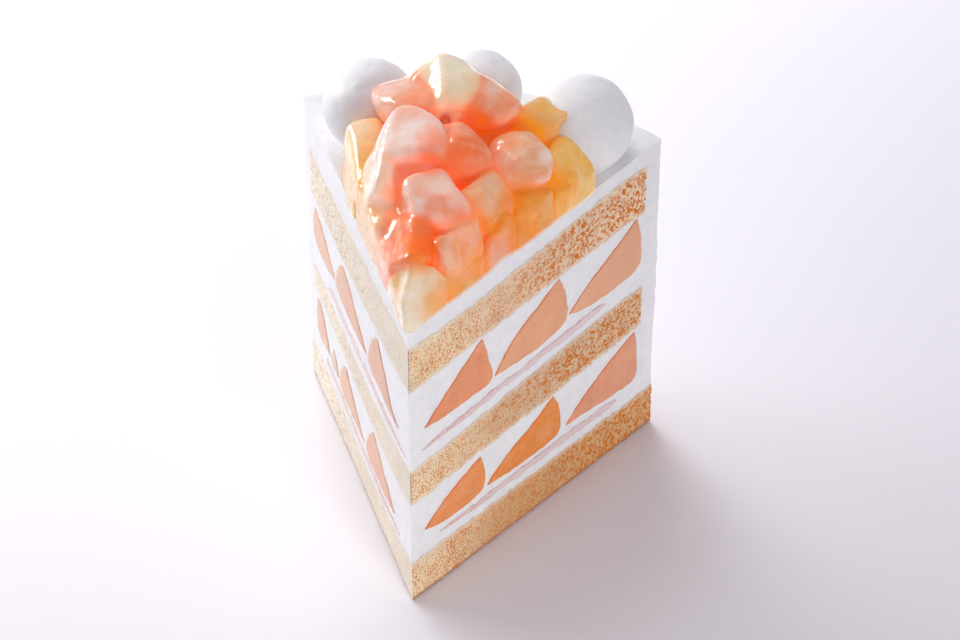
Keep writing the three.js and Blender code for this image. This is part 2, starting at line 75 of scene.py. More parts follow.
# Peach slices: outlines on the right and left faces as distance from the tip and height,
# how far across the piece runs, and its colours on the right and left faces; the left colours
# are paler, painted light where the key lamp falls on the left face
SLICES = {
    "peach_slice_lower_inner": (
        [[4.8, 21.6], [10, 19.8], [19, 19.4], [25.6, 20.8],
         [26.4, 26], [24.8, 32.2], [18.5, 30], [11.5, 26.6]],
        [[14.5, 16.6], [20, 15.6], [29, 15.2], [38.6, 16.4],
         [37, 23], [32, 28.7], [26, 24.6], [19.5, 20]],
        1.0, (255, 152, 66), (240, 194, 166),
    ),
    "peach_slice_lower_middle": (
        [[27.2, 20.8], [34, 19.9], [44, 19.4], [53.4, 20.6],
         [53.8, 28.5], [51.4, 34.4], [43, 30], [34, 26]],
        [[40.8, 17.4], [45, 16.9], [54, 17], [62.4, 18.6],
         [61, 25.4], [56.6, 29.3], [50.5, 24.2], [45.5, 20.6]],
        1.0, (252, 144, 18), (240, 200, 168),
    ),
    "peach_slice_lower_outer": (
        [[56.4, 21.2], [64, 20.7], [74, 19.5], [82.6, 20],
         [83.4, 28], [82.2, 36.2], [72.8, 32.2], [63, 26.6]],
        [[72, 20.4], [75, 19.6], [80, 19.4], [83.2, 20.4],
         [83.4, 26], [82, 32], [78.5, 30.4], [75, 25.4]],
        1.0, (242, 160, 116), (240, 200, 174),
    ),
    "peach_slice_lower_scrap": (
        [[60.8, 20.6], [62, 20.2], [63.5, 20.2], [65, 20.8],
         [64.4, 21.6], [63.2, 22.2], [62, 22], [61.2, 21.4]],
        [[64.2, 19.2], [66, 18.5], [68.4, 18.6], [70.6, 20.2],
         [70.2, 22.4], [68, 26], [66.6, 24.6], [65, 21.8]],
        0.34, (236, 214, 180), (240, 222, 192),
    ),
    "peach_slice_upper_inner": (
        [[5.2, 55.4], [12, 54.7], [21, 54.7], [28.6, 55.6],
         [27.8, 62.5], [25.2, 71], [18.4, 66.2], [10.6, 60]],
        [[9.4, 50.4], [15, 49.5], [25, 49.4], [34.6, 50.6],
         [31.6, 60], [26.4, 64.9], [21, 59.4], [15.6, 52.6]],
        1.0, (246, 154, 100), (238, 190, 162),
    ),
    "peach_slice_upper_middle": (
        [[29.8, 56], [38, 55.1], [47, 55.1], [55.6, 57.6],
         [55.4, 66], [52.8, 72.6], [45, 68.4], [36.4, 63.4]],
        [[36.6, 51.2], [43, 50.2], [53, 50.1], [62.8, 52],
         [60.4, 60], [56, 64], [49.6, 60.4], [42.6, 55.4]],
        1.0, (246, 174, 124), (238, 196, 168),
    ),
    "peach_slice_upper_outer": (
        [[56.8, 58.6], [64, 56.5], [74, 56.3], [82.6, 58],
         [83.4, 66], [81.4, 73.8], [72.2, 68.8], [63.4, 63.8]],
        [[64.4, 52.6], [69, 50.8], [76, 50.5], [82.6, 52],
         [83.3, 58], [81.4, 62.6], [76, 61], [69.6, 56.6]],
        1.0, (246, 178, 134), (240, 202, 174),
    ),
}
# Balls of cream: centre, radius and radius of the foot
BALLS = {
    "cream_ball_left": (-24.9, 19.9, 102.6, 11.7, 7.4),
    "cream_ball_middle": (0.3, 30.7, 103.0, 10.3, 7.0),
    "cream_ball_right": (27.7, 23.2, 103.4, 12.1, 8.0),
}
# Peach chunks: name, centre, half sizes, turn, tilts, seed, then main and second colour, the
# deep orange painted in its crevices as painted glow of light shining through the fruit, and
# how strongly that is painted
CHUNKS = [
    ("crown", [-5.2, 12.8, 115.1], [5.4, 7, 9.1], 26, [8, 19], 1,
     (255, 232, 202), (255, 220, 176), (244, 150, 80), 0.35),
    ("centre_front", [0.2, -19.4, 106.4], [7.2, 6.4, 6.4], 24, [6, -8], 2,
     (252, 210, 192), (248, 160, 126), (248, 110, 24), 0.7),
    ("mid_left", [-8.2, -5, 111.2], [9, 7.2, 7.2], 12, [12, -8], 3,
     (253, 224, 212), (246, 178, 152), (246, 118, 56), 0.85),
    ("middle", [2.4, -3.9, 111.4], [5.6, 6.8, 6.8], 30, [0, 12], 4,
     (244, 150, 110), (244, 126, 74), (246, 90, 2), 0.9),
    ("dome_left", [-11.4, 10.2, 110.9], [8, 7.6, 8], 12, [-6, -14], 5,
     (240, 168, 132), (242, 196, 178), (244, 112, 45), 0.8),
    ("crown_right", [5, 14.4, 111.6], [7.4, 6.4, 6.6], -26, [4, 18], 30,
     (252, 206, 176), (246, 160, 118), (246, 90, 4), 0.9),
    ("mid_right", [15.8, 0.9, 105], [6.2, 7.8, 8.6], 16, [8, 10], 7,
     (242, 214, 198), (234, 174, 132), (236, 116, 4), 0.8),
    ("centre_right", [12.8, -13.2, 104], [4.9, 6.8, 7.2], -14, [12, 8], 8,
     (240, 176, 124), (240, 196, 156), (236, 122, 0), 0.75),
    ("left_column", [-13.6, -11.6, 105], [4.6, 6.6, 8.8], 14, [6, -4], 28,
     (252, 226, 204), (252, 214, 186), (248, 160, 104), 0.7),
    ("lower_left", [-4.9, -27.3, 100.8], [8.3, 6.8, 7], 9, [22, -6], 9,
     (234, 122, 62), (238, 98, 14), (244, 88, 0), 1.0),
    ("lower_front", [0.3, -40.2, 97], [7.6, 6.9, 6.2], 0, [12, 0], 10,
     (242, 226, 198), (232, 186, 120), (230, 146, 20), 0.7),
    ("lower_yellow", [11.2, -29, 96.2], [6.2, 7.8, 4.8], -28, [6, 4], 14,
     (228, 146, 54), (228, 162, 76), (232, 130, 0), 0.8),
    ("small_white", [6.9, -29.6, 101.2], [3.8, 4.4, 5.8], 10, [6, 4], 11,
     (240, 206, 182), (236, 180, 146), (236, 130, 40), 0.6),
    ("small_pink", [11.6, -26.3, 100.2], [4.2, 5.4, 5.6], -20, [8, 4], 12,
     (236, 184, 154), (234, 164, 122), (236, 130, 40), 0.6),
    ("orange_edge", [22.6, -9.8, 96.6], [4.6, 5.4, 4.8], -30, [4, 6], 16,
     (222, 146, 60), (222, 158, 80), (224, 118, 2), 0.8),
    ("salmon_right", [17.6, -19.4, 96.8], [5.8, 6.8, 5.6], -32, [6, 8], 13,
     (228, 180, 150), (226, 170, 132), (230, 108, 15), 0.8),
    ("orange_right", [20.8, -6.9, 99], [6.4, 6.6, 5.2], -30, [6, 8], 15,
     (230, 144, 26), (230, 158, 54), (234, 124, 0), 0.8),
    ("yellow_top_right", [18.8, 16.2, 106.8], [5.3, 5.6, 6], -20, [6, 12], 17,
     (230, 204, 166), (234, 180, 90), (234, 142, 0), 1.0),
    ("yellow_right_low", [25.4, 1.6, 96.6], [4.8, 5.2, 4.6], -30, [4, 6], 19,
     (234, 168, 56), (238, 182, 84), (236, 142, 0), 0.8),
    ("yellow_right", [27, 8, 100], [5.8, 6.4, 7.4], -28, [4, 8], 18,
     (244, 188, 84), (244, 206, 138), (238, 146, 0), 0.8),
    ("upper_left", [-21.2, 4.2, 102.7], [4.6, 4.8, 5.4], 20, [0, -10], 20,
     (244, 228, 208), (242, 216, 184), (240, 198, 136), 0.35),
    ("yellow_left", [-24.2, -0.6, 98.6], [6.8, 9, 7.6], 26, [4, -8], 21,
     (224, 172, 78), (222, 168, 70), (234, 172, 80), 0.4),
    ("yellow_left_low", [-16.8, -17, 97.4], [5.2, 7.6, 6.2], 28, [6, -6], 22,
     (224, 170, 82), (222, 166, 72), (234, 172, 80), 0.4),
    ("back_left", [-9.6, 19, 100], [7.4, 6, 7.6], 12, [-8, 4], 23,
     (240, 176, 146), (243, 200, 165), (238, 130, 60), 0.8),
    ("back_right", [10.6, 18.6, 100], [7.6, 6.4, 7.6], -16, [-8, -4], 24,
     (230, 186, 120), (236, 200, 145), (232, 145, 40), 0.8),
    ("inner_left", [-8.2, 2.4, 98], [6.2, 7, 5.6], 8, [2, 0], 25,
     (240, 150, 110), (240, 165, 125), (242, 84, 4), 1.0),
    ("inner_right", [7.4, 1.4, 97.8], [6, 7, 5.4], -8, [2, 2], 26,
     (240, 140, 95), (238, 150, 105), (242, 84, 4), 1.0),
    ("inner_front", [-1.6, -13.2, 97.4], [6, 4.8, 5.2], 4, [2, 0], 27,
     (240, 140, 95), (238, 150, 105), (242, 84, 4), 1.0),
]
# Local colours on the heap, most of them painted glow where light shines deep orange through
# the fruit, a few paler tints of the fruit: centre, radius, colour and strength
GLOW_AND_TINT_SPOTS = [
    ((6.4, 9.5, 106.7), 5.6, (222, 104, 0), 1.0),
    ((5.6, 7.3, 112.8), 3.0, (226, 112, 20), 0.85),
    ((3.0, 8.0, 114.9), 2.6, (232, 124, 66), 0.6),
    ((2.2, -9.7, 116.4), 4.5, (234, 112, 52), 0.75),
    ((-2.2, -8.6, 117.6), 3.6, (234, 140, 100), 0.6),
    ((-2.4, -12.7, 114.4), 3.6, (238, 104, 44), 0.8),
    ((-6.9, -13.2, 110.4), 3.0, (244, 146, 96), 0.7),
    ((-9.4, -18.4, 107.6), 2.8, (240, 140, 84), 0.6),
    ((-8.6, -22.6, 105.0), 2.6, (240, 136, 74), 0.6),
    ((0.6, -33.6, 105.2), 3.8, (236, 96, 0), 1.0),
    ((1.4, -30.2, 104.6), 3.2, (236, 92, 0), 1.0),
    ((-4.0, -32.6, 104.6), 4.2, (236, 118, 44), 0.75),
    ((0.6, -37.0, 103.6), 3.0, (232, 140, 50), 0.6),
    ((19.5, 10.6, 109.6), 3.8, (222, 146, 0), 0.95),
    ((17.0, 10.8, 111.4), 3.2, (224, 150, 20), 0.8),
    ((13.2, 1.0, 112.2), 3.6, (222, 130, 70), 0.65),
    ((15.6, -18.9, 102.6), 3.4, (222, 120, 0), 0.95),
    ((18.4, -14.6, 102.0), 3.6, (222, 136, 40), 0.75),
    ((22.0, -9.6, 99.0), 3.6, (224, 148, 60), 0.6),
    ((8.2, -34.8, 93.4), 4.2, (228, 134, 5), 1.0),
    ((-22.5, 0.7, 104.0), 4.6, (246, 216, 172), 0.8),
    ((-6.4, 7.6, 114.0), 3.0, (250, 214, 192), 0.8),
    ((8.0, -33.8, 97.0), 2.0, (224, 140, 40), 0.7),
    ((5.6, -38.0, 94.4), 4.2, (222, 158, 90), 0.75),
    ((-9.6, 5.4, 117.0), 2.4, (236, 124, 60), 0.6),
    ((8.6, -25.2, 104.2), 3.4, (240, 180, 150), 0.85),
    ((-12.6, -22.0, 101.0), 4.0, (248, 196, 166), 0.85),
    ((-11.8, -26.4, 99.6), 3.6, (246, 196, 168), 0.85),
    ((-10.0, -30.2, 95.8), 3.6, (242, 178, 146), 0.8),
    ((26.3, 2.2, 103.7), 3.6, (224, 154, 50), 0.7),
    ((14.6, -13.0, 107.6), 3.0, (224, 150, 90), 0.5),
]
# Pools of glaze that round off gaps between the chunks: centre and radius
POOLS = [
    ((-11.4, -17.6, 100.3), 4.0),
    ((-10.4, -21.4, 99.8), 3.8),
    ((8.2, -25.4, 102.0), 3.0),
    ((1.8, 13.5, 118.4), 3.2),
    ((5.0, 14.6, 116.2), 2.8),
    ((-9.4, 13.6, 118.0), 3.2),
    ((-14.2, -9.4, 106.5), 4.6),
    ((-11.0, -20.2, 94.0), 4.4),
    ((-8.8, -25.5, 92.6), 3.6),
    ((-6.8, -30.2, 92.2), 3.4),
    ((-4.2, -35.4, 93.2), 3.6),
]
# A small pit in the glaze at the foot of the crown, its floor painted deep orange as painted
# glow, like the crevices
PIT_AT = (-2.9, 6.5, 111.8)
PIT_AXIS = (0.181, -0.763, 0.620)
PIT_RING = (250, 214, 194)
PIT_FLOOR = (240, 84, 24)
PIT_DEPTH = 1.2
# How sharp the edges of the chunks are, how far chunks hang over the cut faces, and how much
# their trimmed sides turn and lean away from these
EDGE_SHARPNESS = 6.5
SOFTER_EDGES = {"dome_left": 2.8}
CHUNK_OVERHANG = 0.8
SIDE_SPREAD = 0.42


# Numbers

def linear(color):
    """Linear colour of an sRGB colour whose parts run from 0 to 255."""
    c = np.asarray(color, float) / 255
    return np.where(c <= 0.04045, c / 12.92, ((c + 0.055) / 1.055) ** 2.4)


def smoothstep(low, high, x):
    t = np.clip((x - low) / (high - low), 0, 1)
    return t * t * (3 - 2 * t)


def mix(a, b, t):
    return a + (b - a) * t


def tint(tone, color, weight):
    """Tone of each point with some of an sRGB colour over it."""
    return mix(tone, linear(color), weight[..., None])


TABLE_SIZE = 32


def noise(points, size, seed):
    """Smooth noise from about -1 to 1 whose lumps are about `size` wide."""
    table = np.random.default_rng(seed).uniform(-1, 1, (TABLE_SIZE,) * 3)
    p = points / size
    cell = np.floor(p).astype(int)
    f = p - cell
    f = f * f * (3 - 2 * f)
    shares = 1 - f, f
    places = cell % TABLE_SIZE, (cell + 1) % TABLE_SIZE
    value = 0.0
    for i, j, k in np.ndindex(2, 2, 2):
        weight = shares[i][..., 0] * shares[j][..., 1] * shares[k][..., 2]
        value = value + table[places[i][..., 0], places[j][..., 1], places[k][..., 2]] * weight
    return value


def rough(points, size, seed, octaves=3):
    """Noise with finer noise on top."""
    total = 0.0
    for octave in range(octaves):
        total = total + noise(points, size / 2 ** octave, seed + octave) / 2 ** octave
    return total


# The shape of the slice

def level(name, r, across):
    """Height of a level, smooth through its stations and straight from face to face."""
    left, right = LEVELS[name]
    on_left = np.polyval(np.polyfit(STATIONS, left, 3), r)
    on_right = np.polyval(np.polyfit(STATIONS, right, 3), r)
    return mix(on_left, on_right, across)


def wedge_point(r, across, z):
    """Point at a distance from the tip, a share of the way across from the left face."""
    angle = (across - 0.5) * WEDGE_ANGLE
    return np.stack([r * np.sin(angle), TIP_Y + r * np.cos(angle), z + 0 * r], -1)


def away_from_tip(across):
    angle = (across - 0.5) * WEDGE_ANGLE
    return np.stack([np.sin(angle), np.cos(angle), 0 * angle], -1)


def face_normal(side):
    """Outward normal of the left face (side 0) or the right one (side 1)."""
    sign = 1 if side else -1
    return np.array([sign * math.cos(WEDGE_ANGLE / 2), -math.sin(WEDGE_ANGLE / 2), 0])


def share_across(x, y):
    return np.arctan2(x, y - TIP_Y) / WEDGE_ANGLE + 0.5


def icing_height(x, y):
    r = np.hypot(x, y - TIP_Y)
    return level("icing_top", np.clip(r, 0, CAKE_RADIUS), np.clip(share_across(x, y), 0, 1))


# Meshes

def add_mesh(name, points, faces, material, colors=None, vectors=None, corner_angle=180):
    """Mesh object from points in millimetres and arrays of triangles or quads. Its edges look
    sharp where they turn by more than `corner_angle` degrees."""
    mesh = bpy.data.meshes.new(name)
    points = np.asarray(points, float) * MM
    faces = [np.asarray(f) for f in faces if len(f)]
    corners = np.concatenate([f.ravel() for f in faces])
    counts = np.concatenate([np.full(len(f), f.shape[1]) for f in faces])
    starts = np.concatenate([[0], np.cumsum(counts)[:-1]])
    mesh.vertices.add(len(points))
    mesh.vertices.foreach_set("co", points.ravel().astype(np.float32))
    mesh.loops.add(len(corners))
    mesh.loops.foreach_set("vertex_index", corners.astype(np.int32))
    mesh.polygons.add(len(counts))
    mesh.polygons.foreach_set("loop_start", starts.astype(np.int32))
    mesh.update(calc_edges=True)
    mesh.validate()
    mesh.polygons.foreach_set("use_smooth", np.ones(len(mesh.polygons), bool))
    if corner_angle < 180:
        mesh.set_sharp_from_angle(angle=math.radians(corner_angle))
    if colors is not None:
        layer = mesh.color_attributes.new("tone", "FLOAT_COLOR", "POINT")
        rgba = np.ones((len(points), 4), np.float32)
        rgba[:, :3] = colors
        layer.data.foreach_set("color", rgba.ravel())
    for key, values in (vectors or {}).items():
        layer = mesh.attributes.new(key, "FLOAT_VECTOR", "POINT")
        layer.data.foreach_set("vector", np.asarray(values, np.float32).ravel())
    mesh.materials.append(material)
    piece = bpy.data.objects.new(name, mesh)
    bpy.context.scene.collection.objects.link(piece)
    return piece


def looks_inward(points, faces):
    """Whether the faces of a closed mesh look inwards."""
    a, b, c = (points[faces[:, i]] for i in range(3))
    volume = np.einsum("ij,ij->i", a, np.cross(b, c)).sum()
    if faces.shape[1] == 4:
        d = points[faces[:, 3]]
        volume += np.einsum("ij,ij->i", a, np.cross(c, d)).sum()
    return volume <= 0


def outward(points, faces):
    return faces[:, ::-1] if looks_inward(points, faces) else faces


def surface_of(field, low, step):
    """Mesh of the places where a field on a grid crosses zero. The inside is below zero."""
    grid = openvdb.FloatGrid(float(field.max()) + 1.0)
    grid.copyFromArray(np.ascontiguousarray(field, np.float32))
    points, triangles, quads = grid.convertToPolygons(isovalue=0.0, adaptivity=0.0)
    points = low + np.asarray(points, float) * step
    faces = [f for f in (np.asarray(triangles, int), np.asarray(quads, int)) if len(f)]
    return points, [outward(points, f) for f in faces]


def grid_points(low, high, step):
    counts = np.ceil((np.asarray(high) - low) / step).astype(int) + 1
    axes = [low[i] + step * np.arange(counts[i]) for i in range(3)]
    return np.stack(np.meshgrid(*axes, indexing="ij"), -1)


def lattice_shell(counts):
    """Quads over the outside of a lattice of cells, and the lattice place of each corner."""
    quads = []
    for axis in range(3):
        u, v = [n for n in range(3) if n != axis]
        iu, iv = np.meshgrid(np.arange(counts[u]), np.arange(counts[v]), indexing="ij")
        for end in (0, counts[axis]):
            corner = []
            for du, dv in ((0, 0), (1, 0), (1, 1), (0, 1)):
                place = np.zeros(iu.shape + (3,), int)
                place[..., axis] = end
                place[..., u] = iu + du
                place[..., v] = iv + dv
                corner.append(place.reshape(-1, 3))
            quad = np.stack(corner, 1)
            if (end == 0) == (axis != 1):
                quad = quad[:, ::-1]
            quads.append(quad)
    quads = np.concatenate(quads)
    size = np.array(counts) + 1
    keys = (quads[..., 0] * size[1] + quads[..., 1]) * size[2] + quads[..., 2]
    unique, inverse = np.unique(keys.ravel(), return_inverse=True)
    places = np.stack([unique // (size[1] * size[2]), unique // size[2] % size[1],
                       unique % size[2]], -1)
    return places, inverse.reshape(keys.shape)


def push_faces(move, places, last, amount):
    """Moves the lattice corners on the two cut faces outwards by an amount for each corner."""
    for side in (0, 1):
        chosen = places[:, 1] == side * last
        move[chosen] += face_normal(side) * amount[chosen][:, None]


def finish_piece(piece, slot, *nodes):
    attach(piece, "root")
    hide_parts(*nodes)


# Materials

class Nodes:
    """Short way to build a material's nodes."""

    def __init__(self, name):
        self.material = bpy.data.materials.new(name)
        self.material.use_nodes = True
        self.tree = self.material.node_tree
        self.shader = self.tree.nodes["Principled BSDF"]
        self.place = self.add("ShaderNodeTexCoord").outputs["Object"]

    def add(self, kind, inputs=None, **settings):
        node = self.tree.nodes.new(kind)
        for key, value in settings.items():
            setattr(node, key, value)
        for key, value in (inputs or {}).items():
            self.put(node.inputs[key], value)
        return node

    def put(self, socket, value):
        if isinstance(value, bpy.types.NodeSocket):
            self.tree.links.new(value, socket)
        elif isinstance(value, (tuple, list)) and len(value) == 3 and len(socket.default_value) == 4:
            socket.default_value = (*value, 1)
        else:
            socket.default_value = value

    def set(self, **values):
        for key, value in values.items():
            self.put(self.shader.inputs[key.replace("_", " ")], value)

    def attribute(self, name, output="Color"):
        return self.add("ShaderNodeAttribute", attribute_name=name).outputs[output]

    def parts(self, name):
        """The three numbers of a vector attribute."""
        return self.add("ShaderNodeSeparateXYZ", {"Vector": self.attribute(name, "Vector")}).outputs

    def soften(self, weight, radius, scale):
        """Light scattered under the surface, its reach as a colour and a scale in metres."""
        self.set(Subsurface_Weight=weight, Subsurface_Radius=radius, Subsurface_Scale=scale)

    def noise(self, scale, detail=2.0, roughness=0.5, vector=None):
        node = self.add("ShaderNodeTexNoise", {
            "Vector": self.place if vector is None else vector,
            "Scale": scale, "Detail": detail, "Roughness": roughness,
        })
        return node.outputs["Fac"]

    def cells(self, scale):
        node = self.add("ShaderNodeTexVoronoi", {"Vector": self.place, "Scale": scale})
        return node.outputs["Distance"]

    def stretch(self, vector, x, y, z):
        node = self.add("ShaderNodeMapping", {"Vector": vector, "Scale": (x, y, z)})
        return node.outputs["Vector"]

    def ramp(self, value, start, end, first=0.0, last=1.0):
        """Grey that goes from `first` to `last` while a value goes from `start` to `end`."""
        node = self.add("ShaderNodeValToRGB", {"Fac": value})
        for element, at, grey in zip(node.color_ramp.elements, (start, end), (first, last)):
            element.position = at
            element.color = (grey, grey, grey, 1)
        return node.outputs["Color"]

    def blend(self, a, b, fac):
        node = self.add("ShaderNodeMix", data_type="RGBA")
        self.put(node.inputs[0], fac)
        self.put(node.inputs[6], a)
        self.put(node.inputs[7], b)
        return node.outputs[2]

    def math(self, operation, a, b):
        node = self.add("ShaderNodeMath", operation=operation)
        self.put(node.inputs[0], a)
        self.put(node.inputs[1], b)
        return node.outputs[0]

    def times(self, a, b):
        return self.math("MULTIPLY", a, b)

    def minus(self, a, b):
        return self.math("SUBTRACT", a, b)

    def bump(self, height, distance, strength=1.0, normal=None):
        inputs = {"Height": height, "Distance": distance, "Strength": strength}
        if normal is not None:
            inputs["Normal"] = normal
        return self.add("ShaderNodeBump", inputs).outputs["Normal"]


def color3(color):
    return tuple(float(c) for c in linear(color))


def cream_material():
    n = Nodes("whipped_cream")
    clouds = n.ramp(n.noise(380, 4.0, 0.6), 0.35, 0.65)
    n.set(Base_Color=n.blend(color3((242, 242, 243)), color3((249, 249, 248)), clouds))
    n.set(Roughness=n.ramp(n.noise(260), 0.3, 0.7, 0.42, 0.6))
    n.soften(0.35, (0.9, 0.8, 0.75), 0.0012)
    n.set(Specular_IOR_Level=0.35)
    fine = n.bump(n.noise(2600, 3.0), 0.00006, 0.35)
    n.set(Normal=n.bump(n.noise(520, 2.0), 0.00018, 0.35, fine))
    return n.material


def sponge_material():
    n = Nodes("sponge_crumb")
    tone = n.attribute("tone")
    depth, coarse, warm = n.parts("pores")
    cluster = n.times(n.minus(n.noise(170, 2.0), 0.5), 0.3)
    round_holes = n.times(n.minus(0.42, n.cells(1250)), 0.5)
    open_crumb = n.math("ADD", n.noise(950, 1.0, 0.5), n.math("ADD", cluster, round_holes))
    small = n.ramp(open_crumb, 0.495, 0.55)
    tiny = n.ramp(n.math("ADD", n.noise(2300, 1.5, 0.6), cluster), 0.53, 0.6)
    grains = n.ramp(n.noise(5200, 2.0, 0.6), 0.35, 0.65)
    light = n.blend(tone, color3((250, 240, 228)), n.times(grains, 0.3))
    dark = n.blend(color3((232, 190, 134)), color3((220, 120, 6)), warm)
    specks = n.blend(tiny, small, coarse)
    speckled = n.blend(light, dark, n.times(specks, n.times(warm, 0.95)))
    n.set(Base_Color=n.blend(speckled, dark, n.times(depth, 0.55)))
    n.set(Roughness=0.85, Specular_IOR_Level=0.25)
    n.soften(0.1, (1.0, 0.6, 0.35), 0.0003)
    fine = n.bump(n.noise(4200, 3.0, 0.7), 0.00012, 0.6)
    n.set(Normal=n.bump(n.noise(1500, 2.0), 0.0002, 0.5, fine))
    return n.material


def slice_material():
    n = Nodes("peach_flesh_cut")
    tone = n.attribute("tone")
    grain = n.attribute("grain", "Vector")
    rim = n.parts("edge")[0]
    fibres = n.noise(1.0, 3.0, 0.6, n.stretch(grain, 0.5, 2.2, 1.0))
    fine = n.noise(1.0, 2.0, 0.6, n.stretch(grain, 1.1, 4.5, 2.0))
    light_streaks = n.times(n.ramp(fibres, 0.45, 0.72), 0.42)
    dark_streaks = n.times(n.ramp(fine, 0.5, 0.72), 0.42)
    pale = n.blend(tone, color3((246, 214, 194)), light_streaks)
    streaked = n.blend(pale, n.blend(tone, color3((224, 100, 30)), 0.6), dark_streaks)
    n.set(Base_Color=n.blend(streaked, color3((232, 104, 40)), n.times(rim, 0.55)))
    n.set(Roughness=n.ramp(fibres, 0.3, 0.7, 0.32, 0.5), Specular_IOR_Level=0.5)
    n.soften(0.4, (1.0, 0.5, 0.25), 0.0007)
    n.set(Normal=n.bump(fine, 0.00015, 0.5, n.bump(fibres, 0.0003, 0.5)))
    return n.material


def jam_material():
    n = Nodes("jam_strip")
    tone = n.attribute("tone")
    clouds = n.ramp(n.noise(900, 3.0), 0.4, 0.7)
    n.set(Base_Color=n.blend(tone, color3((240, 218, 216)), clouds), Roughness=0.4)
    n.soften(0.3, (1.0, 0.5, 0.5), 0.001)
    n.set(Normal=n.bump(n.noise(1800, 3.0), 0.00015, 0.5))
    return n.material


def chunk_material(name, specks=0.0):
    n = Nodes(name)
    tone = n.attribute("tone")
    grain = n.attribute("grain", "Vector")
    # Share of painted glow, deep orange in the crevices as light shining through the fruit: the pale fibres
    # fade and the coat is thinner there
    painted_glow = n.parts("depth")[0]
    clear = n.minus(1.0, painted_glow)
    fibres = n.add("ShaderNodeTexNoise", {
        "Vector": n.stretch(grain, 0.22, 0.5, 0.5), "Scale": 1.0, "Detail": 3.0,
        "Roughness": 0.55, "Distortion": 0.9,
    }).outputs["Fac"]
    clouds = n.noise(300, 3.0, 0.55)
    pale = n.times(clear, n.times(n.ramp(fibres, 0.46, 0.72), 0.6))
    faded = n.add("ShaderNodeGamma", {"Color": tone, "Gamma": 0.6}).outputs["Color"]
    paler = n.blend(tone, faded, pale)
    deeper = n.blend(paler, n.blend(tone, color3((240, 118, 50)), 0.6),
                     n.times(n.ramp(clouds, 0.48, 0.7), 0.34))
    dots = n.ramp(n.cells(480), 0.05, 0.1, 1, 0)
    dotted = n.blend(deeper, color3((222, 70, 40)), n.times(dots, specks))
    n.set(Base_Color=dotted, Roughness=n.ramp(clouds, 0.3, 0.7, 0.24, 0.34))
    n.set(Specular_IOR_Level=0.22)
    n.soften(0.8, (1.0, 0.4, 0.2), 0.0009)
    # The glaze glows though it is no lamp: painted light from its glow attribute
    n.set(Emission_Color=n.attribute("glow", "Vector"), Emission_Strength=1.0)
    n.set(Coat_Weight=n.minus(1.0, n.times(painted_glow, 0.5)))
    n.set(Coat_Roughness=0.04, Coat_IOR=1.46)
    ripples = n.bump(n.noise(1100, 2.0), 0.0001, 0.25)
    n.set(Coat_Normal=n.bump(n.noise(430, 1.0), 0.0006, 0.45, ripples))
    n.set(Normal=n.bump(clouds, 0.0002, 0.2))
    return n.material


def floor_material():
    n = Nodes("pale_floor")
    n.set(Base_Color=n.blend(color3((236, 234, 239)), color3((240, 238, 242)), n.noise(3.0)))
    n.set(Roughness=n.ramp(n.noise(20), 0.3, 0.7, 0.6, 0.7), Specular_IOR_Level=0.2)
    return n.material


CREAM = cream_material()
SPONGE = sponge_material()
SLICE = slice_material()
JAM = jam_material()
PEACH = chunk_material("glazed_peach")
PEACH_RED = chunk_material("glazed_peach_red", 0.4)


# Cream: layers, top and outer coat in one body. Its cut faces step back behind the sponges.

FACE_STEP = 0.5
CREAM_COLUMNS = 48
CREAM_HEIGHT = 82
CORNER_ANGLE = 62
SPONGE_RECESS = 2.2
SLICE_RECESS = 0.12
HOLLOW_DEPTH = 0.22
SPONGE_SPANS = (("middle_bottom", "middle_top"), ("top_bottom", "top_top"))
# The points of a peach slice's outline where it has a corner, and how sharp that is
SHARP_CORNERS = (0, 5)
CORNER_SHARPNESS = 0.8


def catmull(points, per_span):
    """Closed line through the points, smooth but for its sharp corners."""
    points = np.asarray(points, float)
    t = np.arange(per_span)[:, None] / per_span
    line = []
    for i in range(len(points)):
        a, b, c, d = (points[(i + k) % len(points)] for k in (-1, 0, 1, 2))
        if i in SHARP_CORNERS:
            a = mix(a, b, CORNER_SHARPNESS)
        if (i + 1) % len(points) in SHARP_CORNERS:
            d = mix(d, c, CORNER_SHARPNESS)
        line.append(0.5 * (2 * b + (c - a) * t + (2 * a - 5 * b + 4 * c - d) * t ** 2
                           + (3 * b - a - 3 * c + d) * t ** 3))
    return np.concatenate(line)


def outline_distance(r, z, line):
    """Distance outside a closed line, below zero inside it."""
    p = np.stack([r, z], -1)[..., None, :]
    a, b = line, np.roll(line, -1, 0)
    ab = b - a
    t = np.clip(((p - a) * ab).sum(-1) / (ab * ab).sum(-1), 0, 1)
    distance = np.linalg.norm(p - a - t[..., None] * ab, axis=-1).min(-1)
    pr, pz = p[..., 0], p[..., 1]
    crossing = (a[:, 1] > pz) != (b[:, 1] > pz)
    step = np.where(np.abs(ab[:, 1]) < 1e-9, 1e-9, ab[:, 1])
    hits = crossing & (pr < a[:, 0] + (pz - a[:, 1]) * ab[:, 0] / step)
    return np.where(hits.sum(-1) % 2 == 1, -distance, distance)


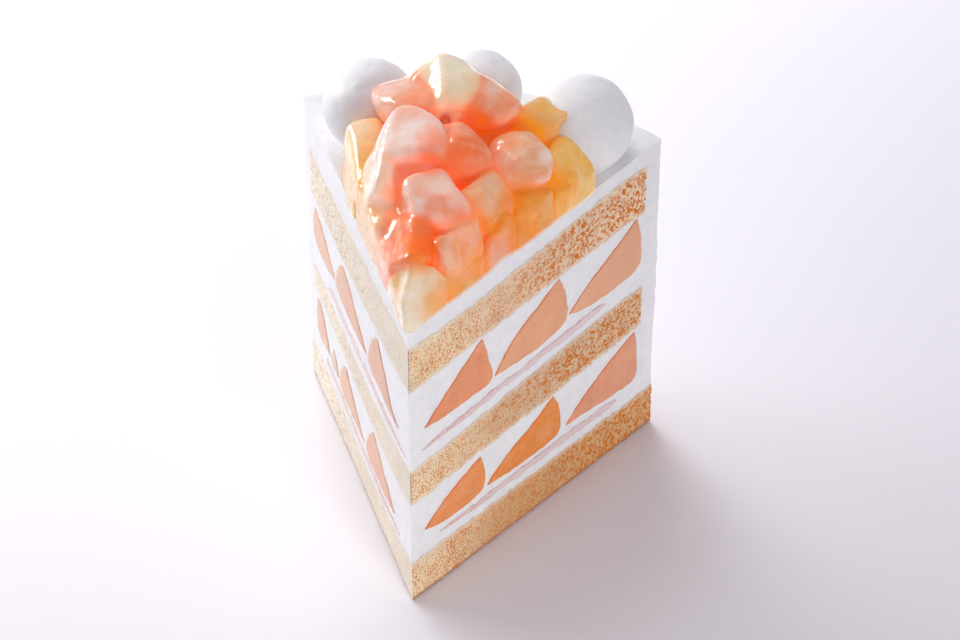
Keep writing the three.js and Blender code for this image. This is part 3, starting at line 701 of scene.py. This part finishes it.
def cream_body():
    nr, na, nz = int(CAKE_RADIUS / FACE_STEP), CREAM_COLUMNS, int(CREAM_HEIGHT / FACE_STEP)
    places, quads = lattice_shell((nr, na, nz))
    r = CAKE_RADIUS * places[:, 0] / nr
    across = places[:, 1] / na
    share = places[:, 2] / nz
    z = mix(level("bottom_top", r, across) - 0.4, level("icing_top", r, across), share)
    flat = wedge_point(r, across, z)
    on_back = places[:, 0] == nr
    on_top = places[:, 2] == nz
    behind = np.zeros(len(r))
    for bottom, top in SPONGE_SPANS:
        inside = np.minimum(np.minimum(z - level(bottom, r, across), level(top, r, across) - z),
                            SPONGE_RADIUS - r)
        behind = np.maximum(behind, SPONGE_RECESS * smoothstep(0.5, 1.4, inside))
    dip = np.zeros(len(r))
    for side in (0, 1):
        chosen = places[:, 1] == (na if side else 0)
        for right, left, reach, _, _ in SLICES.values():
            if side and reach < 1:
                continue
            gap = outline_distance(r[chosen], z[chosen], catmull(right if side else left, 6))
            dip[chosen] = np.maximum(dip[chosen], SLICE_RECESS * smoothstep(0.5, -0.3, gap))
    drag = 0.07 * rough(flat * [1, 1, 2.2], 5.0, 11) + 0.05 * rough(flat, 1.4, 12, 2)
    hollows = HOLLOW_DEPTH * smoothstep(0.52, 0.8, noise(flat, 1.1, 13))
    hollows = hollows * smoothstep(0.1, 0.5, noise(flat, 9.0, 14))
    move = np.zeros_like(flat)
    push_faces(move, places, na, -(behind + dip + hollows - drag) * smoothstep(0.5, 6.0, r))
    radial = away_from_tip(across)
    sweep = 0.28 * rough(np.stack([across * 60, z * 0.35, 0 * r], -1), 9.0, 15) - 0.35
    sweep += 0.3 * noise(flat, 2.8, 18)
    move[on_back] += radial[on_back] * sweep[on_back][:, None]
    swell = 0.16 * rough(flat, 8.0, 16) - 0.16
    move[on_top, 2] += swell[on_top]
    points = flat + move
    piece = add_mesh("cream_body", points, [outward(points, quads)], CREAM, corner_angle=CORNER_ANGLE)
    finish_piece(piece, "cream", "icing", "cream_layer_lower", "cream_layer_upper")


cream_body()


# Sponges with open pores on the cut faces

SPONGE_STEP = 0.25
SPONGE_COLUMNS = 30
SPONGE_HEIGHTS = {"sponge_bottom": 13, "sponge_middle": 12, "sponge_top": 14}
RAGGED_EDGE = 0.42
FINE_PORE_DEPTH = 0.1
COARSE_PORE_DEPTH = 0.25
# How far the crumb stands out of the cut face
PROUD = 0.14


def crumb_pores(flat, share, coarse, seed):
    """Open pores from 0 to 1, fewer near the cream, and wide patches of looser crumb."""
    fine_holes = noise(flat, 0.42, seed) + 0.5 * noise(flat, 0.9, seed + 1)
    wide_holes = noise(flat, 0.62, seed + 2) + 0.5 * noise(flat, 1.3, seed + 3)
    patches = rough(flat, 6.0, seed + 4, 2)
    holes = mix(fine_holes - 0.1, wide_holes, coarse) + 0.12 * patches
    middle = smoothstep(0.0, 0.14, share) * smoothstep(1.0, 0.86, share)
    return smoothstep(0.1, 0.42, holes - 0.25 * (1 - middle)), patches


def sponge(name, bottom, top, radius, coarse_from, tan_color, seed):
    nr, na = int(radius / SPONGE_STEP), SPONGE_COLUMNS
    nz = int(SPONGE_HEIGHTS[name] / SPONGE_STEP)
    places, quads = lattice_shell((nr, na, nz))
    r = radius * places[:, 0] / nr
    across = places[:, 1] / na
    share = places[:, 2] / nz
    z = mix(level(bottom, r, across), level(top, r, across), share)
    flat = wedge_point(r, across, z)
    on_face = (places[:, 1] == 0) | (places[:, 1] == na)
    coarse = smoothstep(coarse_from, coarse_from + 50, r)
    pore, patches = crumb_pores(flat, share, coarse, seed)
    depth = pore * mix(FINE_PORE_DEPTH, COARSE_PORE_DEPTH, coarse)
    crumb = 0.1 * rough(flat, 1.2, seed + 5, 3)
    plan = wedge_point(r, across, 0 * r)
    ragged = RAGGED_EDGE * rough(plan + [0, 0, 7.0 * seed], 1.3, seed + 6, 3)
    ragged_low = RAGGED_EDGE * rough(plan + [0, 0, 9.0 * seed], 1.5, seed + 7, 3)
    move = np.zeros_like(flat)
    move[:, 2] += ragged * smoothstep(0.6, 1.0, share)
    if bottom != "ground":
        move[:, 2] += ragged_low * smoothstep(0.4, 0.0, share)
    else:
        move[:, 2] += np.abs(ragged_low) * (places[:, 2] == 0) * on_face
    push_faces(move, places, na, (PROUD + crumb - depth) * smoothstep(0.3, 5.0, r))
    on_back = places[:, 0] == nr
    radial = away_from_tip(across)
    move[on_back] -= radial[on_back] * (0.25 + 0.2 * rough(flat, 2.0, seed + 8))[on_back][:, None]
    points = flat + move
    points[:, 2] = np.maximum(points[:, 2], 0)
    # Painted light: the left cut face, where the key lamp falls, is painted paler, and its pores, their
    # warmth and the crust are fainter there
    away_from_lit_face = smoothstep(0.2, 0.8, across)
    tone = tint(linear((250, 226, 182)), tan_color, smoothstep(3, 40, r))
    tone = mix(linear((244, 236, 218)), tone, away_from_lit_face[:, None])
    tone = tone * (1 + 0.07 * patches + 0.14 * smoothstep(50, 88, r))[:, None]
    if bottom == "ground":
        crust = smoothstep(1.5, 0.4, z + 0.5 * rough(flat, 2.0, seed + 9, 2))
        crust = np.maximum(crust, 0.6 * on_back)
        tone = tint(tone, (176, 98, 34), 0.85 * crust * mix(0.4, 1, away_from_lit_face))
    dark = pore * mix(0.55, 1.0, coarse) * mix(0.25, 1.0, away_from_lit_face) * (on_face | on_back)
    haze = 1 - smoothstep(0.0, 0.16, share) * smoothstep(1.0, 0.84, share)
    if bottom == "ground":
        haze = 1 - smoothstep(1.0, 0.84, share)
    tone = tint(tone, (240, 228, 214), 0.55 * haze)
    pores = np.stack([dark, coarse, mix(0.3, 1.0, away_from_lit_face) * (1 - 0.6 * haze)], -1)
    piece = add_mesh(name + "_crumb", points, [outward(points, quads)], SPONGE, tone, {"pores": pores},
                     CORNER_ANGLE)
    finish_piece(piece, "sponge", name)


sponge("sponge_bottom", "ground", "bottom_top", CAKE_RADIUS, 20, (217, 166, 102), 101)
sponge("sponge_middle", "middle_bottom", "middle_top", SPONGE_RADIUS, 10, (223, 186, 142), 201)
sponge("sponge_top", "top_bottom", "top_top", SPONGE_RADIUS, 15, (242, 208, 170), 301)


# Peach slices between the sponges

def with_poles(values):
    """Values on rings, one row each, with those of a point in the middle of both end rings."""
    ends = [values[0].mean(0), values[-1].mean(0)]
    return np.concatenate([values.reshape(-1, values.shape[-1]), ends])


def tube_faces(count, around):
    """Quads between the rings of a tube, and triangles to a point in the middle of each end."""
    poles = count * around
    i, j = np.meshgrid(np.arange(count - 1), np.arange(around), indexing="ij")
    here, beside = i * around + j, i * around + (j + 1) % around
    quads = np.stack([here, beside, beside + around, here + around], -1).reshape(-1, 4)
    first = np.stack([np.full(around, poles), beside[0], here[0]], -1)
    last = np.stack([np.full(around, poles + 1), here[-1] + around, beside[-1] + around], -1)
    return quads, np.concatenate([first, last])


# Shares of the way from the middle of a cut end to its outline, closer together near it
CAP_RINGS = np.array([0.06, 0.16, 0.27, 0.38, 0.49, 0.59, 0.68, 0.76, 0.83, 0.89, 0.93, 0.96, 0.985, 1.0])
SIDE_RINGS = 14
CAP_DOME = 0.12
OUTLINE_WOBBLE = 0.2
GRAIN_ANGLE = math.radians(52)


def uneven(line, along, seed):
    """Outlines moved in and out a little, and the directions out of them."""
    def places(pace):
        return np.concatenate([line, pace * along[:, None, None] + 0 * line[..., :1]], -1)

    wobble = noise(places(6), 1.6, seed) + 0.6 * noise(places(9), 0.7, seed + 1)
    ahead = np.roll(line, -1, 1) - np.roll(line, 1, 1)
    ahead /= np.linalg.norm(ahead, axis=-1, keepdims=True)
    normal = np.stack([ahead[..., 1], -ahead[..., 0]], -1)
    return line + normal * OUTLINE_WOBBLE * wobble[..., None], normal


def peach_slice(name, seed):
    right, left, reach, right_color, left_lit_color = SLICES[name]
    per_span = 14
    caps = len(CAP_RINGS)
    rho = np.concatenate([CAP_RINGS, np.ones(SIDE_RINGS - 2), CAP_RINGS[::-1]])
    along = np.concatenate([np.zeros(caps), np.linspace(0, 1, SIDE_RINGS)[1:-1], np.ones(caps)])
    line = mix(catmull(left, per_span)[None], catmull(right, per_span)[None], along[:, None, None])
    centre = line.mean(1, keepdims=True)
    line, normal = uneven(line, along, seed)
    section = centre + (line - centre) * rho[:, None, None]
    r, z = section[..., 0], section[..., 1]
    across = (along * reach)[:, None] + 0 * r
    points = wedge_point(r, across, z)
    rim_gap = (1 - rho[:, None]) * np.linalg.norm(line - centre, axis=-1)
    dome = CAP_DOME * np.sqrt(np.clip(rim_gap / 0.8, 0, 1)) + 0.05
    relief = 0.07 * rough(points, 1.1, seed + 2, 2)
    for side in (0, 1) if reach == 1 else (0,):
        points[along == side] += face_normal(side) * (dome + relief)[along == side][..., None]
    quads, triangles = tube_faces(*r.shape)
    all_points = with_poles(points)
    if looks_inward(all_points, quads):
        quads = quads[:, ::-1]
        triangles = triangles[:, ::-1]
    across_cake = smoothstep(0.15, 0.85, along)[:, None, None] + 0 * r[..., None]
    # The left face takes the paler left colour: painted light where the lamp falls on it
    tone = mix(linear(left_lit_color), linear(right_color), across_cake)
    lumps = rough(points, 5.0, seed + 3, 2)
    tone = tone * (1 + 0.06 * lumps[..., None])
    tone = tint(tone, (240, 190, 150), 0.25 * smoothstep(0.0, 0.9, lumps))
    upper_left = smoothstep(-0.1, 0.7, normal[..., 1] - 0.6 * normal[..., 0])
    rim = smoothstep(0.8, 0.1, rim_gap) * mix(0.45, 1.0, along[:, None]) * mix(0.1, 1.0, upper_left)
    cos, sin = math.cos(GRAIN_ANGLE), math.sin(GRAIN_ANGLE)
    grain = np.stack([r * cos + z * sin, z * cos - r * sin, 30 * across + seed], -1)
    edge = np.stack([rim, 0 * rim, 0 * rim], -1)
    piece = add_mesh(name + "_flesh", all_points, [quads, triangles], SLICE, with_poles(tone),
                     {"grain": with_poles(grain), "edge": with_poles(edge)})
    finish_piece(piece, "peach_slice", name)


for number, slice_name in enumerate(SLICES):
    peach_slice(slice_name, 400 + 20 * number)


# Jam strips

STRIP_CELLS = (260, 12, 12)
STRIP_HALF = 1.45
STRIP_BULGE = 0.16


def jam_strip(name, seed):
    level_name, start, end = STRIPS[name]
    nr, na, nz = STRIP_CELLS
    places, quads = lattice_shell((nr, na, nz))
    share = places[:, 0] / nr
    r = mix(start, end, share)
    across = places[:, 1] / na
    middle = level(level_name, r, across)
    at = wedge_point(r, across, 0 * r)
    taper = np.sqrt(np.clip(np.minimum(share / 0.3, (1 - share) / 0.05), 0, 1))
    half = STRIP_HALF * taper * (0.8 + 0.25 * noise(at, 3.0, seed) + 0.12 * noise(at, 0.9, seed + 1)) + 0.02
    drift = 0.25 * noise(at, 6.0, seed + 2)
    height = 2 * places[:, 2] / nz - 1
    z = middle + drift + half * height
    flat = wedge_point(r, across, z)
    move = np.zeros_like(flat)
    rounded = STRIP_BULGE * np.sqrt(np.clip(1 - height ** 2, 0, 1))
    relief = 0.08 * rough(flat, 0.9, seed + 3, 2)
    push_faces(move, places, na, rounded + relief + 0.02)
    points = flat + move
    tone = mix(linear((240, 220, 216)), linear((236, 214, 214)), smoothstep(0.2, 0.8, across)[:, None])
    broken = 0.5 + 0.5 * smoothstep(-0.3, 0.5, noise(at, 2.0, seed + 4))
    edge_line = 0.9 * smoothstep(0.55, 0.95, np.abs(height)) * broken
    tone = tint(tone, (200, 146, 154), edge_line)
    tone = tint(tone, (232, 172, 158), smoothstep(40, 8, r) * 0.7)
    piece = add_mesh(name + "_jam", points, [outward(points, quads)], JAM, tone)
    finish_piece(piece, "jam", name)


jam_strip("jam_strip_lower", 601)
jam_strip("jam_strip_upper", 621)


# Distances to the toppings

def lehmer(seed):
    """Random numbers from 0 to 1, the same as those that shape the solids."""
    state = seed * 7919 + 17
    while True:
        state = state * 16807 % 2147483647
        yield state / 2147483647


def chunk_planes(half, seed):
    numbers = lehmer(seed)
    next(numbers)
    normals, distances = [], []
    for axis in range(3):
        for side in (-1, 1):
            normal = np.array([next(numbers) - 0.5 for _ in range(3)]) * 0.55
            normal[axis] = side
            normals.append(normal / np.linalg.norm(normal))
            distances.append(half[axis] * (0.92 + 0.14 * next(numbers)))
    for _ in range(4):
        normal = np.array([next(numbers) - 0.5 for _ in range(3)])
        normal /= np.linalg.norm(normal)
        normals.append(normal)
        distances.append(np.linalg.norm(normal * half) * (1.02 + 0.16 * next(numbers)))
    return np.array(normals), np.array(distances)


class Chunk:
    def __init__(self, name, at, half, turn, tilt, seed, main, second, painted_glow_color, amount):
        self.name = "chunk_" + name
        self.at = np.array(at, float)
        self.half = np.array(half, float)
        self.reach = float(np.linalg.norm(self.half)) + 1
        self.seed = seed
        self.normals, self.distances = chunk_planes(half, seed)
        spin = (Euler((0, 0, math.radians(turn))).to_matrix()
                @ Euler((0, math.radians(tilt[1]), 0)).to_matrix()
                @ Euler((math.radians(tilt[0]), 0, 0)).to_matrix())
        self.spin = np.array(spin)
        self.sharpness = SOFTER_EDGES.get(name, EDGE_SHARPNESS)
        self.low_row = self.at[2] - self.half[2] < icing_height(self.at[0], self.at[1]) + 3
        self.cuts = np.random.default_rng(1200 + seed).uniform(-1, 1, (2, 3))
        self.colors = linear(main), linear(second), linear(painted_glow_color)
        self.amount = amount

    def local(self, points):
        return (points - self.at) @ self.spin

    def distance(self, points):
        """Distance outside the chunk along the ray from its centre, below zero inside."""
        if self.low_row:
            points = np.concatenate([points[..., :2], np.maximum(points[..., 2:], self.at[2])], -1)
        local = self.local(points)
        total = 0.0
        for normal, distance in zip(self.normals, self.distances):
            total = total + (np.maximum(0, local @ normal) / distance) ** self.sharpness
        scale = np.maximum(total, 1e-12) ** (1 / self.sharpness)
        length = np.linalg.norm(local, axis=-1)
        return length * (1 - 1 / np.maximum(scale, 1e-3)) * 0.92

    def edge(self, points):
        """How near an edge between two flat sides: 1 on the edge."""
        local = self.local(points)
        shares = np.sort(np.maximum(0, local @ self.normals.T) / self.distances, axis=-1)
        return shares[..., -2] / np.maximum(shares[..., -1], 1e-6)

    def cut(self, points, whole):
        """Distance outside the chunk, trimmed near the cut faces of the slice."""
        field = whole
        for side in (0, 1):
            normal = face_normal(side)
            ahead = np.array([-normal[1], normal[0], 0])
            margin, turn, lean = self.cuts[side]
            margin = 1.2 * margin + (-0.1 if self.low_row else 0.9)
            away = points - self.at
            plane = ((points - [0, TIP_Y, 0]) @ normal + margin
                     + SIDE_SPREAD * turn * (away @ ahead)
                     + SIDE_SPREAD * (1 + lean) * away[..., 2])
            field = smooth_max(field, plane, 1.6)
        return field


def smooth_max(a, b, k):
    h = np.clip(0.5 + 0.5 * (a - b) / k, 0, 1)
    return mix(b, a, h) + k * h * (1 - h)


def smooth_min(a, b, k):
    return -smooth_max(-a, -b, k)


def ball_distance(points, ball, grow=0.0):
    x, y, z, radius, foot = ball
    centre = np.array([x, y, z])
    sphere = np.linalg.norm(points - centre, axis=-1) - radius - grow
    base = icing_height(x, y)
    flat = np.linalg.norm(points[..., :2] - centre[:2], axis=-1)
    disc = np.maximum(flat - foot - grow, np.abs(points[..., 2] - base) - 0.6)
    return smooth_min(sphere, disc, 1.6)


def room_distance(points):
    """Distance outside the slice seen from above, with a small overhang."""
    x, y = points[..., 0], points[..., 1] - TIP_Y
    half = WEDGE_ANGLE / 2
    left = -x * math.cos(half) - y * math.sin(half)
    right = x * math.cos(half) - y * math.sin(half)
    return np.maximum(np.maximum(left, right) - CHUNK_OVERHANG, -y)


# Cream balls

BALL_STEP = 0.5
for number, (ball_name, ball) in enumerate(BALLS.items()):
    x, y, z, radius, foot = ball
    low = np.array([x - radius - 2, y - radius - 2, icing_height(x, y) - 2])
    points = grid_points(low, [x + radius + 2, y + radius + 2, z + radius + 2], BALL_STEP)
    seed = 700 + 20 * number
    field = ball_distance(points, ball)
    field = field + 0.24 * noise(points, 6.5, seed) + 0.10 * noise(points, 2.4, seed + 1)
    dent = smoothstep(0.45, 0.8, noise(points, 2.2, seed + 2))
    dent = dent * smoothstep(0.0, 0.5, noise(points, 7.0, seed + 3))
    field = field + 0.4 * dent
    field = np.maximum(field, icing_height(points[..., 0], points[..., 1]) - 0.3 - points[..., 2])
    corner, faces = surface_of(field, low, BALL_STEP)
    piece = add_mesh(ball_name + "_cream", corner, faces, CREAM)
    finish_piece(piece, "cream", ball_name)


# Peach chunks under their glaze

CHUNK_STEP = 0.9
CHUNK_DEPTH = 0.8
chunk_list = [Chunk(*row) for row in CHUNKS]
SLOT_OF = {m["node"]: m["material_slot"] for m in frame["record"]["subparts"]}


def near(chunk, others):
    return [o for o in others if np.linalg.norm(o.at - chunk.at) < o.reach + chunk.reach]


def waves(points):
    """Uneven surface of the fruit, the same for neighbours so that they still fit together."""
    return 0.5 * noise(points, 5.6, 900) + 0.12 * noise(points, 2.4, 940)


def fruit_color(chunk, points):
    main, second, _ = chunk.colors
    clouds = smoothstep(-0.4, 0.5, rough(chunk.local(points), 5.5, 1000 + chunk.seed, 2))
    return mix(main, second, clouds[..., None])


for number, chunk in enumerate(chunk_list):
    low = chunk.at - chunk.reach
    points = grid_points(low, chunk.at + chunk.reach, CHUNK_STEP)
    wavy = waves(points)
    field = chunk.cut(points, chunk.distance(points) + wavy) + CHUNK_DEPTH
    for other in near(chunk, chunk_list[:number]):
        field = smooth_max(field, 0.1 - other.distance(points) - wavy, 0.5)
    for ball in BALLS.values():
        field = smooth_max(field, 0.4 - ball_distance(points, ball), 0.5)
    field = np.maximum(field, icing_height(points[..., 0], points[..., 1]) - points[..., 2])
    field = smooth_max(field, room_distance(points) + CHUNK_DEPTH, 0.8)
    corner, faces = surface_of(field, low, CHUNK_STEP)
    grain = chunk.local(corner) + 40.0 * chunk.seed
    piece = add_mesh(chunk.name + "_peach", corner, faces, PEACH, fruit_color(chunk, corner),
                     {"grain": grain})
    finish_piece(piece, SLOT_OF[chunk.name], chunk.name)


# The glaze lies over all the chunks, fills the crevices between them and spreads a little at
# their foot. It is the surface that is seen, so it has the colour of the fruit under it, with
# painted light on it: deep orange painted glow in its crevices, standing in for light shining
# through the fruit, paler edges as painted highlights, and a faint glow all over.

GLAZE_STEP = 0.43
GLAZE_LOW = np.array([-33.0, TIP_Y - 1, 88.0])
GLAZE_HIGH = np.array([36.0, 31.0, 126.0])
FAR = 30.0
GLAZE_BLEND = 1.2
# Below zero, because the blend between chunks already swells the heap
GLAZE_THICKNESS = -0.2
GROOVE_DEPTH = 0.9
GROOVE_WIDTH = 1.3
# Painted light: the glaze glows with a share of its own tone, and more with the crevice colour where the
# painted glow is
SHINE_THROUGH = 0.11
CREVICE_GLOW = 0.32


def groove(first, second, points):
    """1 along the border of two chunks, where `first` and `second` are the distances outside
    the two nearest ones, and less away from the right face of the slice."""
    flank = smoothstep(-4.5, -1.5, (points - [0, TIP_Y, 0]) @ face_normal(1))
    return (0.2 + 0.8 * flank) * np.exp(-((second - first) / GROOVE_WIDTH) ** 2)


def pit_distance(points):
    """Distance from the axis of the pit, more far up or down the axis."""
    away = points - PIT_AT
    past_end = np.maximum(0, np.abs(away @ PIT_AXIS) - 4)
    return np.linalg.norm(np.cross(away, PIT_AXIS), axis=-1) + 0.4 * past_end


def closeness(distances, size):
    """How much of the fruit lies about as near as the nearest: 0 far out on one chunk."""
    nearest = distances.min(0)
    return np.log(np.exp((nearest - distances) / size).sum(0))


def pull(distance):
    """How strongly a thing at a distance draws the glaze round it."""
    return np.exp(-np.clip(distance, -8, 14) / GLAZE_BLEND)


def heap_distance(points):
    """Distance outside the heap of chunks and pools on the points of a grid."""
    wavy = waves(points)
    total = np.full(points.shape[:3], 1e-6)
    first_near = np.full(points.shape[:3], FAR)
    second_near = np.full(points.shape[:3], FAR + 1)
    for chunk in chunk_list:
        first = np.maximum(((chunk.at - chunk.reach - 5 - GLAZE_LOW) / GLAZE_STEP).astype(int), 0)
        last = ((chunk.at + chunk.reach + 5 - GLAZE_LOW) / GLAZE_STEP).astype(int) + 1
        part = tuple(slice(a, b) for a, b in zip(first, last))
        whole = chunk.distance(points[part]) + wavy[part]
        second_near[part] = np.minimum(second_near[part], np.maximum(first_near[part], whole))
        first_near[part] = np.minimum(first_near[part], whole)
        total[part] += pull(chunk.cut(points[part], whole))
    for centre, radius in POOLS:
        total += pull(np.linalg.norm(points - centre, axis=-1) - radius)
    heap = -GLAZE_BLEND * np.log(total)
    heap = heap + GROOVE_DEPTH * groove(first_near, second_near, points)
    return heap + PIT_DEPTH * smoothstep(1.9, 0.8, pit_distance(points))


def glaze_look(corner):
    """Tone, glow and share of painted glow of each corner of the glaze. The tone has painted light
    in it: paler edges as painted highlights, and deep orange in the hollows, creases and borders
    as painted glow of light shining through the fruit.
    """
    wavy = waves(corner)
    whole = np.stack([np.minimum(chunk.distance(corner) + wavy, FAR) for chunk in chunk_list])
    distances = np.stack([chunk.cut(corner, w) for chunk, w in zip(chunk_list, whole)])
    ordered = np.sort(whole, axis=0)
    border = groove(ordered[0], ordered[1], corner)
    share = np.exp((distances.min(0) - distances) / 0.4)
    share /= share.sum(0)
    tone = sum(w[:, None] * fruit_color(chunk, corner) for w, chunk in zip(share, chunk_list))
    painted_glow_color = sum(w[:, None] * chunk.colors[2] for w, chunk in zip(share, chunk_list))
    amount = sum(w * chunk.amount for w, chunk in zip(share, chunk_list))
    edge_highlight = sum(w * smoothstep(0.8, 1.0, chunk.edge(corner)) for w, chunk in zip(share, chunk_list))
    crease = smoothstep(0.2, 0.7, closeness(distances, 1.2))
    hollow = smoothstep(0.4, 1.5, closeness(distances, 3.6))
    patch = mix(0.75, 1.0, smoothstep(-0.5, 0.5, noise(corner, 7.0, 1040)))
    # Painted highlight: the tone is paler on the edges between flat sides, and painted light makes it a
    # little paler everywhere but in the hollows
    tone = mix(tone, tone ** 0.6, ((0.1 + 0.4 * edge_highlight) * (1 - hollow))[:, None])
    # Painted glow: deep orange in the hollows, creases and borders between chunks, standing in for light
    # shining through the fruit
    painted_glow = amount * patch * np.clip(0.8 * hollow + 0.15 * crease + 0.6 * border, 0, 1)
    tone = mix(tone, painted_glow_color, painted_glow[:, None])
    # Spots of painted glow and of paler tint; each also adds to the share of painted glow
    for place, radius, color, strength in GLOW_AND_TINT_SPOTS:
        away = np.linalg.norm(corner - place, axis=1) / radius
        away = away + 0.25 * noise(corner, 2.6, 1080)
        weight = strength * np.exp(-np.maximum(away, 0) ** 2.5)
        tone = tint(tone, color, weight)
        painted_glow_color = tint(painted_glow_color, color, weight)
        painted_glow = np.maximum(painted_glow, 0.9 * weight)
    pit = pit_distance(corner)
    tone = tint(tone, PIT_RING, 0.85 * smoothstep(3.2, 2.2, pit))
    # The pit floor is painted deep orange: painted glow in the hollow
    tone = tint(tone, PIT_FLOOR, smoothstep(1.6, 1.1, pit))
    foot = smoothstep(1.1, 0.2, corner[:, 2] - icing_height(corner[:, 0], corner[:, 1]))
    left = smoothstep(-6.0, -3.0, (corner - [0, TIP_Y, 0]) @ face_normal(0))
    foot = foot * (1 - 0.75 * left)
    tone = tint(tone, (248, 238, 224), 0.6 * foot)
    painted_glow = painted_glow * (1 - foot)
    return tone, tone * SHINE_THROUGH + painted_glow_color * (CREVICE_GLOW * painted_glow)[:, None], painted_glow


def glaze():
    points = grid_points(GLAZE_LOW, GLAZE_HIGH, GLAZE_STEP)
    height = points[..., 2] - icing_height(points[..., 0], points[..., 1])
    field = smooth_max(heap_distance(points) - GLAZE_THICKNESS, room_distance(points), 0.8)
    field = np.maximum(field, -height - 0.4)
    for ball in BALLS.values():
        field = np.maximum(field, 0.05 - ball_distance(points, ball))
    corner, faces = surface_of(field, GLAZE_LOW, GLAZE_STEP)
    tone, glow, painted_glow = glaze_look(corner)
    piece = add_mesh("peach_glaze", corner, faces, PEACH_RED, tone,
                     {"grain": corner, "glow": glow, "depth": painted_glow[:, None] * [1.0, 1.0, 1.0]})
    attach(piece, "root")


glaze()


# Floor, light and camera, in metres, with the lens in millimetres as usual

FLOOR_HALF = 3.0
FLOOR_Z = -0.0002
CAMERA_AT = (0.1496, -0.6356, 0.6339)
CAMERA_YAW = 0.22050
CAMERA_PITCH = 0.72583
FOCAL_LENGTH = 131.93
SENSOR_WIDTH = 36


def stage():
    mesh = bpy.data.meshes.new("floor")
    corners = [(x * FLOOR_HALF, y * FLOOR_HALF, FLOOR_Z) for x, y in ((-1, -1), (1, -1), (1, 1), (-1, 1))]
    mesh.from_pydata(corners, [], [(0, 1, 2, 3)])
    mesh.materials.append(floor_material())
    floor = bpy.data.objects.new("floor", mesh)
    bpy.context.scene.collection.objects.link(floor)
    world = bpy.data.worlds.new("studio")
    bpy.context.scene.world = world
    world.use_nodes = True
    background = world.node_tree.nodes["Background"]
    background.inputs["Color"].default_value = (0.93, 0.89, 1.0, 1)
    background.inputs["Strength"].default_value = 0.38


def area_light(name, at, aim, width, height, power, color, spread=180, diffuse=True, glossy=True):
    """Lamp that lights matt surfaces (diffuse), is mirrored in shiny ones (glossy), or both."""
    light = bpy.data.lights.new(name, "AREA")
    light.shape = "RECTANGLE"
    light.size = width
    light.size_y = height
    light.energy = power
    light.spread = math.radians(spread)
    light.color = color
    lamp = bpy.data.objects.new(name, light)
    lamp.location = at
    lamp.visible_diffuse = diffuse
    lamp.visible_glossy = glossy
    lamp.visible_camera = False
    lamp.rotation_euler = (Vector(aim) - Vector(at)).to_track_quat("-Z", "Y").to_euler()
    bpy.context.scene.collection.objects.link(lamp)


def camera():
    lens = bpy.data.cameras.new("camera")
    lens.lens = FOCAL_LENGTH
    lens.sensor_width = SENSOR_WIDTH
    lens.sensor_fit = "HORIZONTAL"
    lens.clip_start = 0.01
    view = bpy.data.objects.new("camera", lens)
    view.location = CAMERA_AT
    view.rotation_euler = Euler((math.pi / 2 - CAMERA_PITCH, 0, CAMERA_YAW), "XYZ")
    bpy.context.scene.collection.objects.link(view)
    bpy.context.scene.camera = view


stage()
area_light("key", (-0.5, 0.08, 0.3), (0, 0, 0.09), 0.24, 0.3, 1.0, (1.0, 1.0, 0.98), glossy=False)
area_light("shine", (-0.48, 0.05, 0.3), (0, 0, 0.1), 0.24, 0.26, 3.6, (1.0, 1.0, 1.0), diffuse=False)
area_light("top", (-0.15, 0.35, 0.9), (0, 0, 0.1), 0.3, 0.2, 1.28, (1.0, 0.99, 0.98), glossy=False)
area_light("fill", (0.4, -0.48, 0.24), (0, -0.05, 0.03), 0.16, 0.16, 0.112, (1.0, 1.0, 0.98), 46,
           glossy=False)
area_light("back", (-0.6, 0.9, 0.6), (-0.3, 0.6, 0), 1.2, 0.4, 6.3, (0.99, 0.98, 1.0), 75,
           glossy=False)
camera()
bpy.context.scene.view_settings.view_transform = "Standard"
